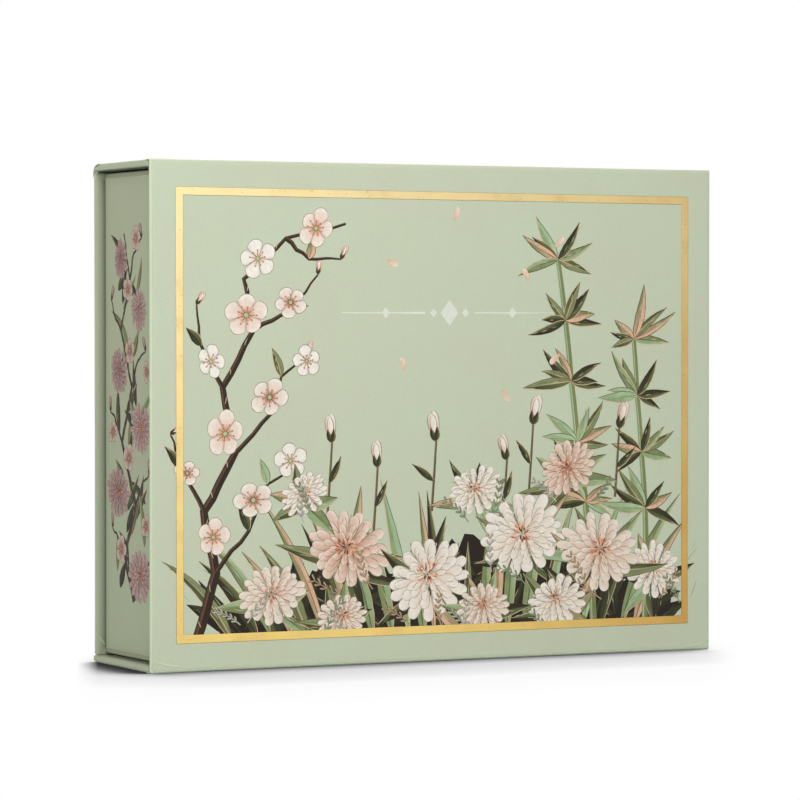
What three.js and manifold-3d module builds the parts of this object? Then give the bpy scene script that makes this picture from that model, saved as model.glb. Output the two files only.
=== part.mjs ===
// A card deck for mahjong in its rigid book-style box, standing on its long narrow side.
// Millimetres, +X along the width, +Y to the back, +Z up. Origin: middle of the footprint, on the floor.
// The cover is four greyboards wrapped in paper: lid in front, spine on top, base behind, flap below.
// A tray with two wells of cards is glued to the base, and magnets in the flap hold the cover shut.

import * as THREE from 'three';
import { mergeVertices } from 'three/addons/utils/BufferGeometryUtils.js';
import Module from 'manifold-3d';

const wasm = await Module();
wasm.setup();

// Cards, and the room that they have in their wells
const card_width = 57;
const card_height = 89;
const card_thickness = 0.31;
const card_corner = 3.2;
const left_pile_cards = [36, 36, 3];
const right_pile_cards = [36, 28, 11];
const card_side_gap = 0.7;
const card_seat_gap = 0.2;
const card_head_gap = 2.8;
const card_rim_drop = 1.4;
const top_card_slide = 0.25;

// Boards and papers
const board_thickness = 1.0;
const wrap_paper = 0.2;
const liner_paper = 0.1;
const turn_in = 12;
const liner_margin = 3;
const corner_round = 0.8;
const board_corner = 1.0;
const hinge_gap = 0.3;
const hinge_reach = 6;
const flap_lip = 0.4;

// Foil frame line on the lid
const foil_line = 1.4;
const foil_depth = 0.05;
const foil_inset_left = 5.3;
const foil_inset_right = 5.1;
const foil_inset_top = 5.4;
const foil_inset_bottom = 5.6;

// Tray
const overhang = 1.8;
const tray_gap = 0.5;
const tray_front_gap = 0.3;
const tray_board = 1.1;
const tray_floor_board = 1.0;
const tray_wrap_paper = 0.2;
const tray_liner_paper = 0.2;
const print_paper = 0.1;
const print_margin = 0.85;
const print_back_margin = 0.6;
const divider_board = 1.1;
const divider_drop = 4;
const divider_slip = 0.3;
const notch_radius = 10;

// Magnets and the steel discs that they hold to
const magnet_radius = 5;
const magnet_thickness = 0.8;
const disc_radius = 5.5;
const disc_thickness = 0.5;
const disc_seat_gap = 0.3;

// How finely round shapes are cut, and how far a cut runs past what it cuts
const corner_steps = 5;
const round_steps = 32;
const notch_steps = 48;
const overrun = 0.5;

// The box worked out from its cards: across, up and back
const cover = wrap_paper + board_thickness + wrap_paper + liner_paper;
const tray_wall = tray_wrap_paper + tray_board + tray_wrap_paper;
const end_wall = print_paper + tray_wall;
const divider_thickness = tray_wrap_paper + divider_board + tray_wrap_paper;
const well_width = card_side_gap + card_width + card_side_gap;
const well_height = card_seat_gap + card_height + card_head_gap;
const cards_in = (piles) => piles.reduce((sum, count) => sum + count, 1);
const deck_cards = Math.max(cards_in(left_pile_cards), cards_in(right_pile_cards));
const well_depth = card_rim_drop + deck_cards * card_thickness;
const tray_width = end_wall + well_width + divider_thickness + well_width + end_wall;
const tray_height = tray_wall + well_height + tray_wall;
const tray_depth = well_depth + tray_liner_paper + tray_floor_board;
const box_width = overhang + tray_width + overhang;
const box_height = cover + tray_gap + tray_height + tray_gap + cover;
const box_depth = cover + tray_front_gap + tray_depth + cover;

// Places in the box
const half_width = box_width / 2;
const front = -(box_depth + flap_lip) / 2;
const back = front + box_depth;
const lid_inner = front + cover;
const base_inner = back - cover;
const hinge_edge = lid_inner + hinge_gap;
const top_inner = box_height - cover;

const tray = {
  left: -half_width + overhang,
  right: half_width - overhang,
  front: lid_inner + tray_front_gap,
  back: base_inner,
  bottom: cover + tray_gap,
  top: top_inner - tray_gap,
};
const tray_middle = (tray.front + tray.back) / 2;
const well = {
  left: tray.left + end_wall,
  right: tray.right - end_wall,
  bottom: tray.bottom + tray_wall,
  top: tray.top - tray_wall,
  back: tray.back - tray_floor_board - tray_liner_paper,
};
const well_middles = {
  left: (well.left - divider_thickness / 2) / 2,
  right: (well.right + divider_thickness / 2) / 2,
};

// Materials
function paint(colour, roughness, metalness = 0) {
  return new THREE.MeshStandardMaterial({ color: new THREE.Color(...colour), roughness, metalness });
}

const sage_paper = paint([0.56, 0.63, 0.48], 0.75);
const liner_sheet = paint([0.75, 0.72, 0.64], 0.8);
const greyboard = paint([0.4, 0.38, 0.34], 0.9);
const gold_foil = paint([0.8, 0.58, 0.25], 0.3, 1);
const print_sheet = paint([0.5, 0.42, 0.38], 0.7);
const card_stock = paint([0.86, 0.85, 0.8], 0.4);
const magnet_nickel = paint([0.6, 0.6, 0.6], 0.3, 1);
const disc_steel = paint([0.5, 0.5, 0.5], 0.4, 1);

// Solids
function solid_of(geometry) {
  geometry.deleteAttribute('normal');
  geometry.deleteAttribute('uv');
  const merged = mergeVertices(geometry);
  const vertProperties = Float32Array.from(merged.attributes.position.array);
  const triVerts = Uint32Array.from(merged.index.array);
  return new wasm.Manifold(new wasm.Mesh({ numProp: 3, vertProperties, triVerts }));
}

function block(x0, x1, y0, y1, z0, z1) {
  const geometry = new THREE.BoxGeometry(x1 - x0, y1 - y0, z1 - z0);
  geometry.translate((x0 + x1) / 2, (y0 + y1) / 2, (z0 + z1) / 2);
  return solid_of(geometry);
}

function rounded_outline(x0, x1, y0, y1, radius) {
  const outline = new THREE.Shape();
  outline.moveTo(x0 + radius, y0);
  outline.lineTo(x1 - radius, y0);
  outline.absarc(x1 - radius, y0 + radius, radius, -Math.PI / 2, 0);
  outline.lineTo(x1, y1 - radius);
  outline.absarc(x1 - radius, y1 - radius, radius, 0, Math.PI / 2);
  outline.lineTo(x0 + radius, y1);
  outline.absarc(x0 + radius, y1 - radius, radius, Math.PI / 2, Math.PI);
  outline.lineTo(x0, y0 + radius);
  outline.absarc(x0 + radius, y0 + radius, radius, Math.PI, Math.PI * 1.5);
  return outline;
}

function plate(x0, x1, y0, y1, z0, z1, radius) {
  const outline = rounded_outline(x0, x1, y0, y1, radius);
  const options = { depth: z1 - z0, bevelEnabled: false, curveSegments: corner_steps };
  const geometry = new THREE.ExtrudeGeometry(outline, options);
  geometry.translate(0, 0, z0);
  return solid_of(geometry);
}

// A round disc or cut that stands on z0
function disc(x, y, z0, z1, radius, steps) {
  const geometry = new THREE.CylinderGeometry(radius, radius, z1 - z0, steps);
  geometry.rotateX(Math.PI / 2);
  geometry.translate(x, y, (z0 + z1) / 2);
  return solid_of(geometry);
}

function mesh_of(name, solid, material) {
  const made = solid.getMesh();
  const geometry = new THREE.BufferGeometry();
  geometry.setAttribute('position', new THREE.BufferAttribute(made.vertProperties, 3));
  geometry.setIndex(new THREE.BufferAttribute(made.triVerts, 1));
  geometry.computeVertexNormals();
  const mesh = new THREE.Mesh(geometry, material);
  mesh.name = name;
  return mesh;
}

// A cover panel lies with its outer face on z 0 and its inner face at cover, and runs from y 0 to length.
// An edge is 'turned' where the wrap folds over it, 'face' where a hinge paper lies on the outer face
// beside it, and 'edge' where a hinge paper covers the edge itself.
const board_low = wrap_paper;
const board_high = wrap_paper + board_thickness;
const wrap_high = board_high + wrap_paper;

function board_span(length, first, last) {
  const start = first === 'turned' ? wrap_paper : 0;
  const end = last === 'turned' ? length - wrap_paper : length;
  return [start, end];
}

function panel_board(length, first, last) {
  const [start, end] = board_span(length, first, last);
  const side = half_width - wrap_paper;
  return plate(-side, side, start, end, board_low, board_high, board_corner);
}

function panel_wrap(length, first, last) {
  const [start, end] = board_span(length, first, last);
  const side = half_width - wrap_paper;
  const open_start = first === 'turned' ? start : start - overrun;
  const open_end = last === 'turned' ? end : end + overrun;
  const room = block(-side, side, open_start, open_end, board_low, board_high);
  const window_start = first === 'turned' ? turn_in : -overrun;
  const window_end = last === 'turned' ? length - turn_in : length + overrun;
  const window_side = half_width - turn_in;
  const window_top = wrap_high + overrun;
  const window_cut = block(-window_side, window_side, window_start, window_end, board_low, window_top);
  let wrap = plate(-half_width, half_width, 0, length, 0, wrap_high, corner_round);
  wrap = wrap.subtract(room).subtract(window_cut);
  const wide = half_width + overrun;
  if (first === 'face') {
    wrap = wrap.subtract(block(-wide, wide, -overrun, hinge_reach, -overrun, board_low));
  }
  if (last === 'face') {
    wrap = wrap.subtract(block(-wide, wide, length - hinge_reach, length + overrun, -overrun, board_low));
  }
  return wrap;
}

function panel_liner(length, first, last) {
  const sheet_start = first === 'turned' ? turn_in : 0;
  const sheet_end = last === 'turned' ? length - turn_in : length;
  const sheet_side = half_width - turn_in;
  const sheet = block(-sheet_side, sheet_side, sheet_start, sheet_end, board_high, wrap_high);
  const over_start = first === 'turned' ? liner_margin : 0;
  const over_end = last === 'turned' ? length - liner_margin : length;
  const over_side = half_width - liner_margin;
  return sheet.add(block(-over_side, over_side, over_start, over_end, wrap_high, cover));
}

// Cover panels, each in a group that lays it in its place
function lid_group() {
  const group = new THREE.Group();
  group.position.set(0, front, box_height - wrap_paper);
  group.rotation.x = -Math.PI / 2;
  const length = box_height - 2 * wrap_paper;
  const foil = foil_frame(length);
  const wrap = panel_wrap(length, 'edge', 'edge').subtract(foil.cut);
  group.add(mesh_of('lid_board', panel_board(length, 'edge', 'edge'), greyboard));
  group.add(mesh_of('lid_wrap', wrap, sage_paper));
  group.add(mesh_of('lid_liner', panel_liner(length, 'edge', 'edge'), liner_sheet));
  group.add(mesh_of('lid_foil_frame', foil.line, gold_foil));
  return group;
}

// The foil line is pressed into the wrap, so it lies flush in a groove of its own depth
function foil_frame(length) {
  const x0 = -half_width + foil_inset_left;
  const x1 = half_width - foil_inset_right;
  const y0 = foil_inset_top - wrap_paper;
  const y1 = length + wrap_paper - foil_inset_bottom;
  const outer = [x0, x1, y0, y1];
  const inner = [x0 + foil_line, x1 - foil_line, y0 + foil_line, y1 - foil_line];
  const hole = block(...inner, -overrun, foil_depth + overrun);
  return {
    line: block(...outer, 0, foil_depth).subtract(hole),
    cut: block(...outer, -overrun, foil_depth).subtract(hole),
  };
}

function spine_group() {
  const group = new THREE.Group();
  group.position.set(0, back - wrap_paper, box_height);
  group.rotation.x = Math.PI;
  const length = back - wrap_paper - hinge_edge;
  group.add(mesh_of('spine_board', panel_board(length, 'edge', 'face'), greyboard));
  group.add(mesh_of('spine_wrap', panel_wrap(length, 'edge', 'face'), sage_paper));
  group.add(mesh_of('spine_liner', panel_liner(length, 'edge', 'face'), liner_sheet));
  return group;
}

function base_group() {
  const group = new THREE.Group();
  group.position.set(0, back, cover);
  group.rotation.x = Math.PI / 2;
  const length = top_inner - hinge_gap - cover;
  group.add(mesh_of('base_board', panel_board(length, 'turned', 'face'), greyboard));
  group.add(mesh_of('base_wrap', panel_wrap(length, 'turned', 'face'), sage_paper));
  group.add(mesh_of('base_liner', panel_liner(length, 'turned', 'face'), liner_sheet));
  return group;
}

function flap_group() {
  const group = new THREE.Group();
  group.position.set(0, hinge_edge, 0);
  const length = back + flap_lip - hinge_edge;
  const magnet_y = tray_middle - hinge_edge;
  const magnet_low = board_high - magnet_thickness;
  let board = panel_board(length, 'face', 'turned');
  for (const [side, x] of Object.entries(well_middles)) {
    const pocket_radius = magnet_radius + disc_seat_gap;
    const pocket = disc(x, magnet_y, magnet_low, board_high + overrun, pocket_radius, round_steps);
    const magnet = disc(x, magnet_y, magnet_low, board_high, magnet_radius, round_steps);
    board = board.subtract(pocket);
    group.add(mesh_of(`flap_magnet_${side}`, magnet, magnet_nickel));
  }
  group.add(mesh_of('flap_board', board, greyboard));
  group.add(mesh_of('flap_wrap', panel_wrap(length, 'face', 'turned'), sage_paper));
  group.add(mesh_of('flap_liner', panel_liner(length, 'face', 'turned'), liner_sheet));
  return group;
}

// Hinge papers: the stretches of the wrap that cross from one panel to the next
function hinge_papers() {
  const group = new THREE.Group();
  const reach_y = hinge_edge + hinge_reach;
  const top_low = box_height - wrap_paper;
  const back_low = top_inner - hinge_gap - hinge_reach;
  const top = block(-half_width, half_width, front, reach_y, top_low, box_height);
  const bottom = block(-half_width, half_width, front, reach_y, 0, wrap_paper);
  const rear = block(-half_width, half_width, back - wrap_paper, back, back_low, box_height);
  group.add(mesh_of('hinge_paper_spine_lid', top, sage_paper));
  group.add(mesh_of('hinge_paper_lid_flap', bottom, sage_paper));
  group.add(mesh_of('hinge_paper_base_spine', rear, sage_paper));
  return group;
}

// Tray: four walls round a floor, in one paper that turns over the rim
function tray_group() {
  const group = new THREE.Group();
  const walls = {
    left: tray.left + print_paper + tray_wrap_paper,
    right: tray.right - print_paper - tray_wrap_paper,
    front: tray.front + tray_wrap_paper,
    bottom: tray.bottom + tray_wrap_paper,
    top: tray.top - tray_wrap_paper,
  };
  const inside = {
    left: walls.left + tray_board,
    right: walls.right - tray_board,
    bottom: walls.bottom + tray_board,
    top: walls.top - tray_board,
  };
  const { front: wall_front } = walls;
  const floor_front = tray.back - tray_floor_board;
  const top_wall = block(walls.left, walls.right, wall_front, tray.back, inside.top, walls.top);
  let bottom_wall = block(walls.left, walls.right, wall_front, tray.back, walls.bottom, inside.bottom);
  const left_wall = block(walls.left, inside.left, wall_front, tray.back, inside.bottom, inside.top);
  const right_wall = block(inside.right, walls.right, wall_front, tray.back, inside.bottom, inside.top);
  const floor_board = block(inside.left, inside.right, floor_front, tray.back, inside.bottom, inside.top);
  const disc_top = walls.bottom + disc_thickness;
  for (const [side, x] of Object.entries(well_middles)) {
    const pocket_radius = disc_radius + disc_seat_gap;
    const pocket = disc(x, tray_middle, walls.bottom - overrun, disc_top, pocket_radius, round_steps);
    bottom_wall = bottom_wall.subtract(pocket);
    const steel = disc(x, tray_middle, walls.bottom, disc_top, disc_radius, round_steps);
    group.add(mesh_of(`tray_steel_disc_${side}`, steel, disc_steel));
  }
  group.add(mesh_of('tray_wall_top', top_wall, greyboard));
  group.add(mesh_of('tray_wall_bottom', bottom_wall, greyboard));
  group.add(mesh_of('tray_wall_left', left_wall, greyboard));
  group.add(mesh_of('tray_wall_right', right_wall, greyboard));
  group.add(mesh_of('tray_floor', floor_board, greyboard));
  group.add(mesh_of('tray_wrap', tray_sleeve(walls, inside, floor_front), sage_paper));
  const liner = block(well.left, well.right, well.back, floor_front, well.bottom, well.top);
  group.add(mesh_of('tray_liner', liner, liner_sheet));
  group.add(end_print('tray_end_print_left', tray.left));
  group.add(end_print('tray_end_print_right', tray.right - print_paper));
  return group;
}

function tray_sleeve(walls, inside, floor_front) {
  const left = tray.left + print_paper;
  const right = tray.right - print_paper;
  const outer = block(left, right, tray.front, tray.back, tray.bottom, tray.top);
  const past_front = tray.front - overrun;
  const past_back = tray.back + overrun;
  const well_cut = block(well.left, well.right, past_front, past_back, well.bottom, well.top);
  const { left: wl, right: wr, bottom: wb, top: wt } = walls;
  const { left: il, right: ir, bottom: ib, top: it } = inside;
  const wall_room = block(wl, wr, walls.front, past_back, wb, wt);
  const wall_core = block(il, ir, past_front, past_back + overrun, ib, it);
  const floor_room = block(wl, wr, floor_front, past_back, wb, wt);
  return outer.subtract(well_cut).subtract(wall_room.subtract(wall_core)).subtract(floor_room);
}

function end_print(name, x0) {
  const low = tray.bottom + print_margin;
  const high = tray.top - print_margin;
  const sheet = block(x0, x0 + print_paper, tray.front, tray.back - print_back_margin, low, high);
  return mesh_of(name, sheet, print_sheet);
}

// Divider between the two wells, with a half-round finger notch in its front edge
function divider_group() {
  const group = new THREE.Group();
  const side = divider_thickness / 2;
  const core_side = divider_board / 2;
  const low = well.bottom + divider_slip;
  const high = well.top - divider_slip;
  const rim = tray.front + divider_drop;
  const notch = new THREE.CylinderGeometry(notch_radius, notch_radius, divider_thickness * 2, notch_steps);
  notch.rotateZ(Math.PI / 2);
  notch.translate(0, rim, (low + high) / 2);
  const notch_cut = solid_of(notch);
  const core_front = rim + tray_wrap_paper;
  const core = block(-core_side, core_side, core_front, well.back, low, high);
  const past_back = well.back + overrun;
  const room = block(-core_side, core_side, core_front, past_back, low - overrun, high + overrun);
  const wrap = block(-side, side, rim, well.back, low, high).subtract(room);
  group.add(mesh_of('divider_board', core.subtract(notch_cut), greyboard));
  group.add(mesh_of('divider_wrap', wrap.subtract(notch_cut), sage_paper));
  return group;
}

// Cards: in each well three piles, back to front, and one card on top
function card_pile(name, x, low, front_y, back_y) {
  const side = card_width / 2;
  const pile = plate(x - side, x + side, low, low + card_height, -back_y, -front_y, card_corner);
  const mesh = mesh_of(name, pile, card_stock);
  mesh.rotation.x = Math.PI / 2;
  return mesh;
}

function deck_group(x, names, counts, top_name, slide) {
  const group = new THREE.Group();
  const low = well.bottom + card_seat_gap;
  let pile_back = well.back;
  names.forEach((name, i) => {
    const pile_front = pile_back - counts[i] * card_thickness;
    group.add(card_pile(name, x, low, pile_front, pile_back));
    pile_back = pile_front;
  });
  group.add(card_pile(top_name, x + slide, low, pile_back - card_thickness, pile_back));
  return group;
}

function decks() {
  const group = new THREE.Group();
  const { left, right } = well_middles;
  const left_names = ['cards_dots', 'cards_bamboo', 'cards_spare'];
  const right_names = ['cards_characters', 'cards_honours', 'cards_flowers'];
  group.add(deck_group(left, left_names, left_pile_cards, 'card_top_left', top_card_slide));
  group.add(deck_group(right, right_names, right_pile_cards, 'card_top_right', -top_card_slide));
  return group;
}

const card_deck = new THREE.Group();
card_deck.add(
  base_group(),
  spine_group(),
  lid_group(),
  flap_group(),
  hinge_papers(),
  tray_group(),
  divider_group(),
  decks(),
);

export default card_deck;
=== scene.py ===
# Looks of a card deck in its book-style box: papers, foil line, prints, tray and cards.
import math
import random
from types import SimpleNamespace

import bmesh
import bpy
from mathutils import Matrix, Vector, noise

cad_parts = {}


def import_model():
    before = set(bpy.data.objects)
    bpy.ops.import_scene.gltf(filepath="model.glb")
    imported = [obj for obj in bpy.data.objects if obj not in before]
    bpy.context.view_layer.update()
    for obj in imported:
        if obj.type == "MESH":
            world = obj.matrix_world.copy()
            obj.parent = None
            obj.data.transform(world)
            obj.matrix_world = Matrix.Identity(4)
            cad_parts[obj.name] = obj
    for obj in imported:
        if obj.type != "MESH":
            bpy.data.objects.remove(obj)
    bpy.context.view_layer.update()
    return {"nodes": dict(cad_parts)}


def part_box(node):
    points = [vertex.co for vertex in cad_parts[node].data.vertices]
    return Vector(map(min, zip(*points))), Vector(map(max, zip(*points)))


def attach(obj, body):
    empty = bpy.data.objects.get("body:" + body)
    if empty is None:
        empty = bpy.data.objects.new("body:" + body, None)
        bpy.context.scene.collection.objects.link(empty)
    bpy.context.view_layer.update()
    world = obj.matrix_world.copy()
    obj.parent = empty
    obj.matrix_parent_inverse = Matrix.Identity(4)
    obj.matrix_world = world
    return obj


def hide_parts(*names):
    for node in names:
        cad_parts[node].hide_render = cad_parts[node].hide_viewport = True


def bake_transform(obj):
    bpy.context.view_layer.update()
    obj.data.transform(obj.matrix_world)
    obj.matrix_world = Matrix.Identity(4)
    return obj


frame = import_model()

# All sizes below are in millimetres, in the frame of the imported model.
MM = 0.001
rng = random.Random(11)

# The camera stands where the photograph's perspective puts it.
CAMERA_AT = (-346.4, -686.7, 67.4)
CAMERA_LOOK = (0.4486, 0.8935, -0.0202)
CAMERA_LENS = 170.7

# Wrapped boards: rounds, the turned-in paper, and how far a skin lies inside its solid
EDGE_ROUND = 0.6
LID_ROUND = 0.75
INNER_ROUND = 0.5
CORNER_ROUND = 0.45
LEAST_ROUND = 0.06
BACK_ROUND = 3.2
SHARPER = 0.4
COVER = 1.5
BOW = 0.06
TURN_IN = 12.0
SKIN_DROP = 0.02
PRINT_ROOM = 0.1
FOIL_ROOM = 0.12
BASE_LOWER = 0.08
LINING = 0.09
BEVEL = 0.03
ARC_STEPS = 5
SIDE_STEPS = 10

# Hinge papers
HINGE_LAP = 0.17
HINGE_THIN = 0.01
HINGE_STATIONS = 90
CRUMPLE_REACH = 4.5
CRUMPLE_HEIGHT = 0.34


def box_of(node):
    """A node's box at rest, in millimetres."""
    low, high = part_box(node)
    return SimpleNamespace(
        x0=low.x / MM, y0=low.y / MM, z0=low.z / MM, x1=high.x / MM, y1=high.y / MM, z1=high.z / MM
    )


lid, spine, base, flap, tray, divider = (
    box_of(f"{name}_wrap") for name in ("lid", "spine", "base", "flap", "tray", "divider")
)
top_paper, foot_paper = box_of("hinge_paper_spine_lid"), box_of("hinge_paper_lid_flap")
foil = box_of("lid_foil_frame")
tray_floor, tray_liner = box_of("tray_floor"), box_of("tray_liner")

paper = top_paper.z1 - top_paper.z0
wrap_depth = lid.y1 - lid.y0
half = lid.x1
top = top_paper.z1
front = lid.y0
back = base.y1


# Colours
def linear(red, green, blue):
    """A display colour, 0 to 255, as the linear colour that a shader takes."""
    shares = [value / 255 for value in (red, green, blue)]
    return tuple(s / 12.92 if s < 0.04 else ((s + 0.055) / 1.055) ** 2.4 for s in shares)


def mixed(first, second, share):
    return tuple(a + (b - a) * share for a, b in zip(first, second))


def varied(colour, amount):
    """The colour, a little lighter or darker and a little warmer or cooler."""
    light = 1 + rng.uniform(-amount, amount)
    warm = rng.uniform(-amount, amount) / 3
    return (colour[0] * (light + warm), colour[1] * light, colour[2] * (light - warm))


def grey(value):
    return (value, value, value)


WHITE = grey(1.0)
PETAL_WHITE = linear(245, 238, 229)
PETAL_CREAM = linear(240, 228, 213)
PETAL_PINK = linear(238, 214, 199)
PEACH = linear(228, 184, 154)
APRICOT = linear(210, 136, 98)
RUST = linear(168, 90, 62)
BARK = linear(104, 76, 58)
UMBER = linear(46, 34, 24)
GROUND = linear(30, 22, 15)
OLIVE = linear(126, 132, 88)
LEAF = linear(142, 160, 116)
MINT = linear(176, 200, 156)
FOREST = linear(68, 76, 48)
TAN = linear(214, 182, 150)
CHALK = linear(226, 229, 218)
SEAFOAM = linear(150, 182, 152)
MAUVE = linear(150, 124, 134)
ROSE = linear(206, 168, 164)
PLUM = linear(84, 66, 80)


# Points in a plane
def polar(centre, reach, angle, squash=1.0):
    """The point at a reach and an angle in radians from a centre."""
    return (centre[0] + reach * math.cos(angle), centre[1] + reach * math.sin(angle) * squash)


def turned(centre, a, b, turn):
    """The point a, b from a centre, turned about it."""
    cosine, sine = math.cos(turn), math.sin(turn)
    return (centre[0] + a * cosine - b * sine, centre[1] + a * sine + b * cosine)


def between(p, q, share):
    return (p[0] + (q[0] - p[0]) * share, p[1] + (q[1] - p[1]) * share)


def even(steps):
    return [i / steps for i in range(steps + 1)]


def turn_steps(count):
    return [2 * math.pi * i / count for i in range(count)]


def quarter(steps=ARC_STEPS):
    """Sines and cosines from 0 to 90 degrees."""
    return [(math.sin(t), math.cos(t)) for t in (math.pi / 2 * i / steps for i in range(steps + 1))]


def rounded_rectangle(span, inset, radius, bow=0.0):
    """Points round a rectangle inside a span, with round corners and sides that draw in by bow."""
    a0, b0 = span[0] + inset, span[2] + inset
    a1, b1 = span[1] - inset, span[3] - inset
    corners = [
        ((a1 - radius, b0 + radius), -90),
        ((a1 - radius, b1 - radius), 0),
        ((a0 + radius, b1 - radius), 90),
        ((a0 + radius, b0 + radius), 180),
    ]
    points = []
    for k, (centre, start) in enumerate(corners):
        points += [polar(centre, radius, math.radians(start + 90 * share)) for share in even(ARC_STEPS)]
        last = points[-1]
        centre, turn = corners[(k + 1) % 4]
        ahead = polar(centre, radius, math.radians(turn))
        for share in even(SIDE_STEPS)[1:-1]:
            sag = bow * (1 - (2 * share - 1) ** 4)
            points.append(polar(between(last, ahead, share), -sag, math.radians(turn)))
    return points


def direction(points, k):
    """The way that a line runs at its point k."""
    before, after = points[max(k - 1, 0)], points[min(k + 1, len(points) - 1)]
    return Vector((after[0] - before[0], after[1] - before[1])).normalized()


def swept(points, widths, offsets):
    """Rows of points beside a line. An offset is a share of the half width, or a function of the width."""
    rows = [[] for _ in offsets]
    for k, (a, b) in enumerate(points):
        run = direction(points, k)
        for row, offset in zip(rows, offsets):
            reach = widths[k] / 2 * (offset(widths[k]) if callable(offset) else offset)
            row.append((a - run.y * reach, b + run.x * reach))
    return rows


def curve(root, length, angle, bend, shares):
    """Points along a line that starts at an angle and turns evenly, in degrees."""
    points = [root]
    for before, after in zip(shares, shares[1:]):
        heading = math.radians(angle + bend * (before + after) / 2)
        points.append(polar(points[-1], length * (after - before), heading))
    return points


# Meshes
class Shape:
    """Points in millimetres, faces, and a colour for each corner of each face."""

    def __init__(self):
        self.points = []
        self.faces = []
        self.paints = []

    def add(self, points):
        start = len(self.points)
        self.points.extend(points)
        return start

    def face(self, corners, paint=WHITE):
        """paint is one colour, or one for each corner."""
        corners = tuple(corners)
        self.faces.append(corners)
        self.paints.append([paint] * len(corners) if isinstance(paint[0], float) else list(paint))

    def repaint(self, change):
        """change gives a corner's new colour from its point and its colour."""
        for face, paints in zip(self.faces, self.paints):
            for k, corner in enumerate(face):
                paints[k] = change(self.points[corner], paints[k])


def put(name, data):
    made = bpy.data.objects.new(name, data)
    bpy.context.scene.collection.objects.link(made)
    return made


def make_piece(name, shape, skin, body=None, replaces=(), sharp=35):
    mesh = bpy.data.meshes.new(name)
    mesh.from_pydata([[c * MM for c in p] for p in shape.points], [], shape.faces)
    paint = mesh.color_attributes.new("paint", "FLOAT_COLOR", "CORNER")
    paint.data.foreach_set("color", [v for face in shape.paints for c in face for v in (*c, 1.0)])
    work = bmesh.new()
    work.from_mesh(mesh)
    bmesh.ops.recalc_face_normals(work, faces=work.faces)
    work.to_mesh(mesh)
    work.free()
    mesh.materials.append(skin)
    mesh.shade_smooth()
    mesh.set_sharp_from_angle(angle=math.radians(sharp))
    piece = put(name, mesh)
    if body:
        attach(piece, body)
    if replaces:
        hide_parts(*replaces)
    return piece


def join_rings(shape, rings, tints=None, closed=False):
    """Quads between neighbouring rings of equal length, and a cap at each end of an open stack."""
    tints = tints or [1.0] * len(rings)
    starts = [shape.add(ring) for ring in rings]
    count = len(rings[0])
    pairs = list(zip(range(len(rings)), range(1, len(rings))))
    if closed:
        pairs.append((len(rings) - 1, 0))
    for low, high in pairs:
        dark, light = grey(tints[low]), grey(tints[high])
        for i in range(count):
            j = (i + 1) % count
            corners = (starts[low] + i, starts[low] + j, starts[high] + j, starts[high] + i)
            shape.face(corners, (dark, dark, light, light))
    if not closed:
        for k in (0, len(rings) - 1):
            shape.face(range(starts[k], starts[k] + count), grey(tints[k]))


def stack(place, span, profile, radius, bow=0.0, closed=False):
    """A Shape from a profile of (inset, depth, tint) swept round a rounded rectangle."""
    shape = Shape()
    rings = []
    for inset, depth, _ in profile:
        plan = rounded_rectangle(span, inset, max(radius - inset, LEAST_ROUND), bow)
        rings.append([place(a, b, depth) for a, b in plan])
    join_rings(shape, rings, [tint for _, _, tint in profile], closed)
    return shape


# Places on the cover's panels. Depth runs from a panel's outer face to its inner one.
def lid_place(a, b, depth):
    """The lid's right edge is pressed sharper than its other three."""
    inset, sunk = half - a, depth - FOIL_ROOM
    if inset < LID_ROUND:
        a = half - inset * SHARPER
        if 0 < sunk < LID_ROUND:
            depth = FOIL_ROOM + sunk * SHARPER
    return (a, front + depth, b)


def spine_place(a, b, depth):
    """The spine's back edge is pressed round: its square section becomes a quarter of an ellipse."""
    start, floor = back - BACK_ROUND, top - COVER
    along, up = (b - start) / BACK_ROUND, (top - depth - floor) / COVER
    if along > 0 and up > 0:
        pull = max(along, up) / math.hypot(along, up)
        b, depth = start + along * pull * BACK_ROUND, COVER * (1 - up * pull)
    return (a, b, top - depth)


def base_place(a, b, depth):
    return (a, back - depth, b)


def flap_place(a, b, depth):
    return (a, b, depth)


# Each panel: its places, span, the depth of its skin and the round of its outer edge
PANELS = {
    "lid": (lid_place, (-half, half, foot_paper.z0, top), FOIL_ROOM, LID_ROUND),
    "spine": (spine_place, (-half, half, spine.y0, spine.y1), SKIN_DROP, EDGE_ROUND),
    "base": (base_place, (-half, half, base.z0 - BASE_LOWER, base.z1), SKIN_DROP, EDGE_ROUND),
    "flap": (flap_place, (-half, half, flap.y0, flap.y1), SKIN_DROP, EDGE_ROUND),
}


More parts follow.
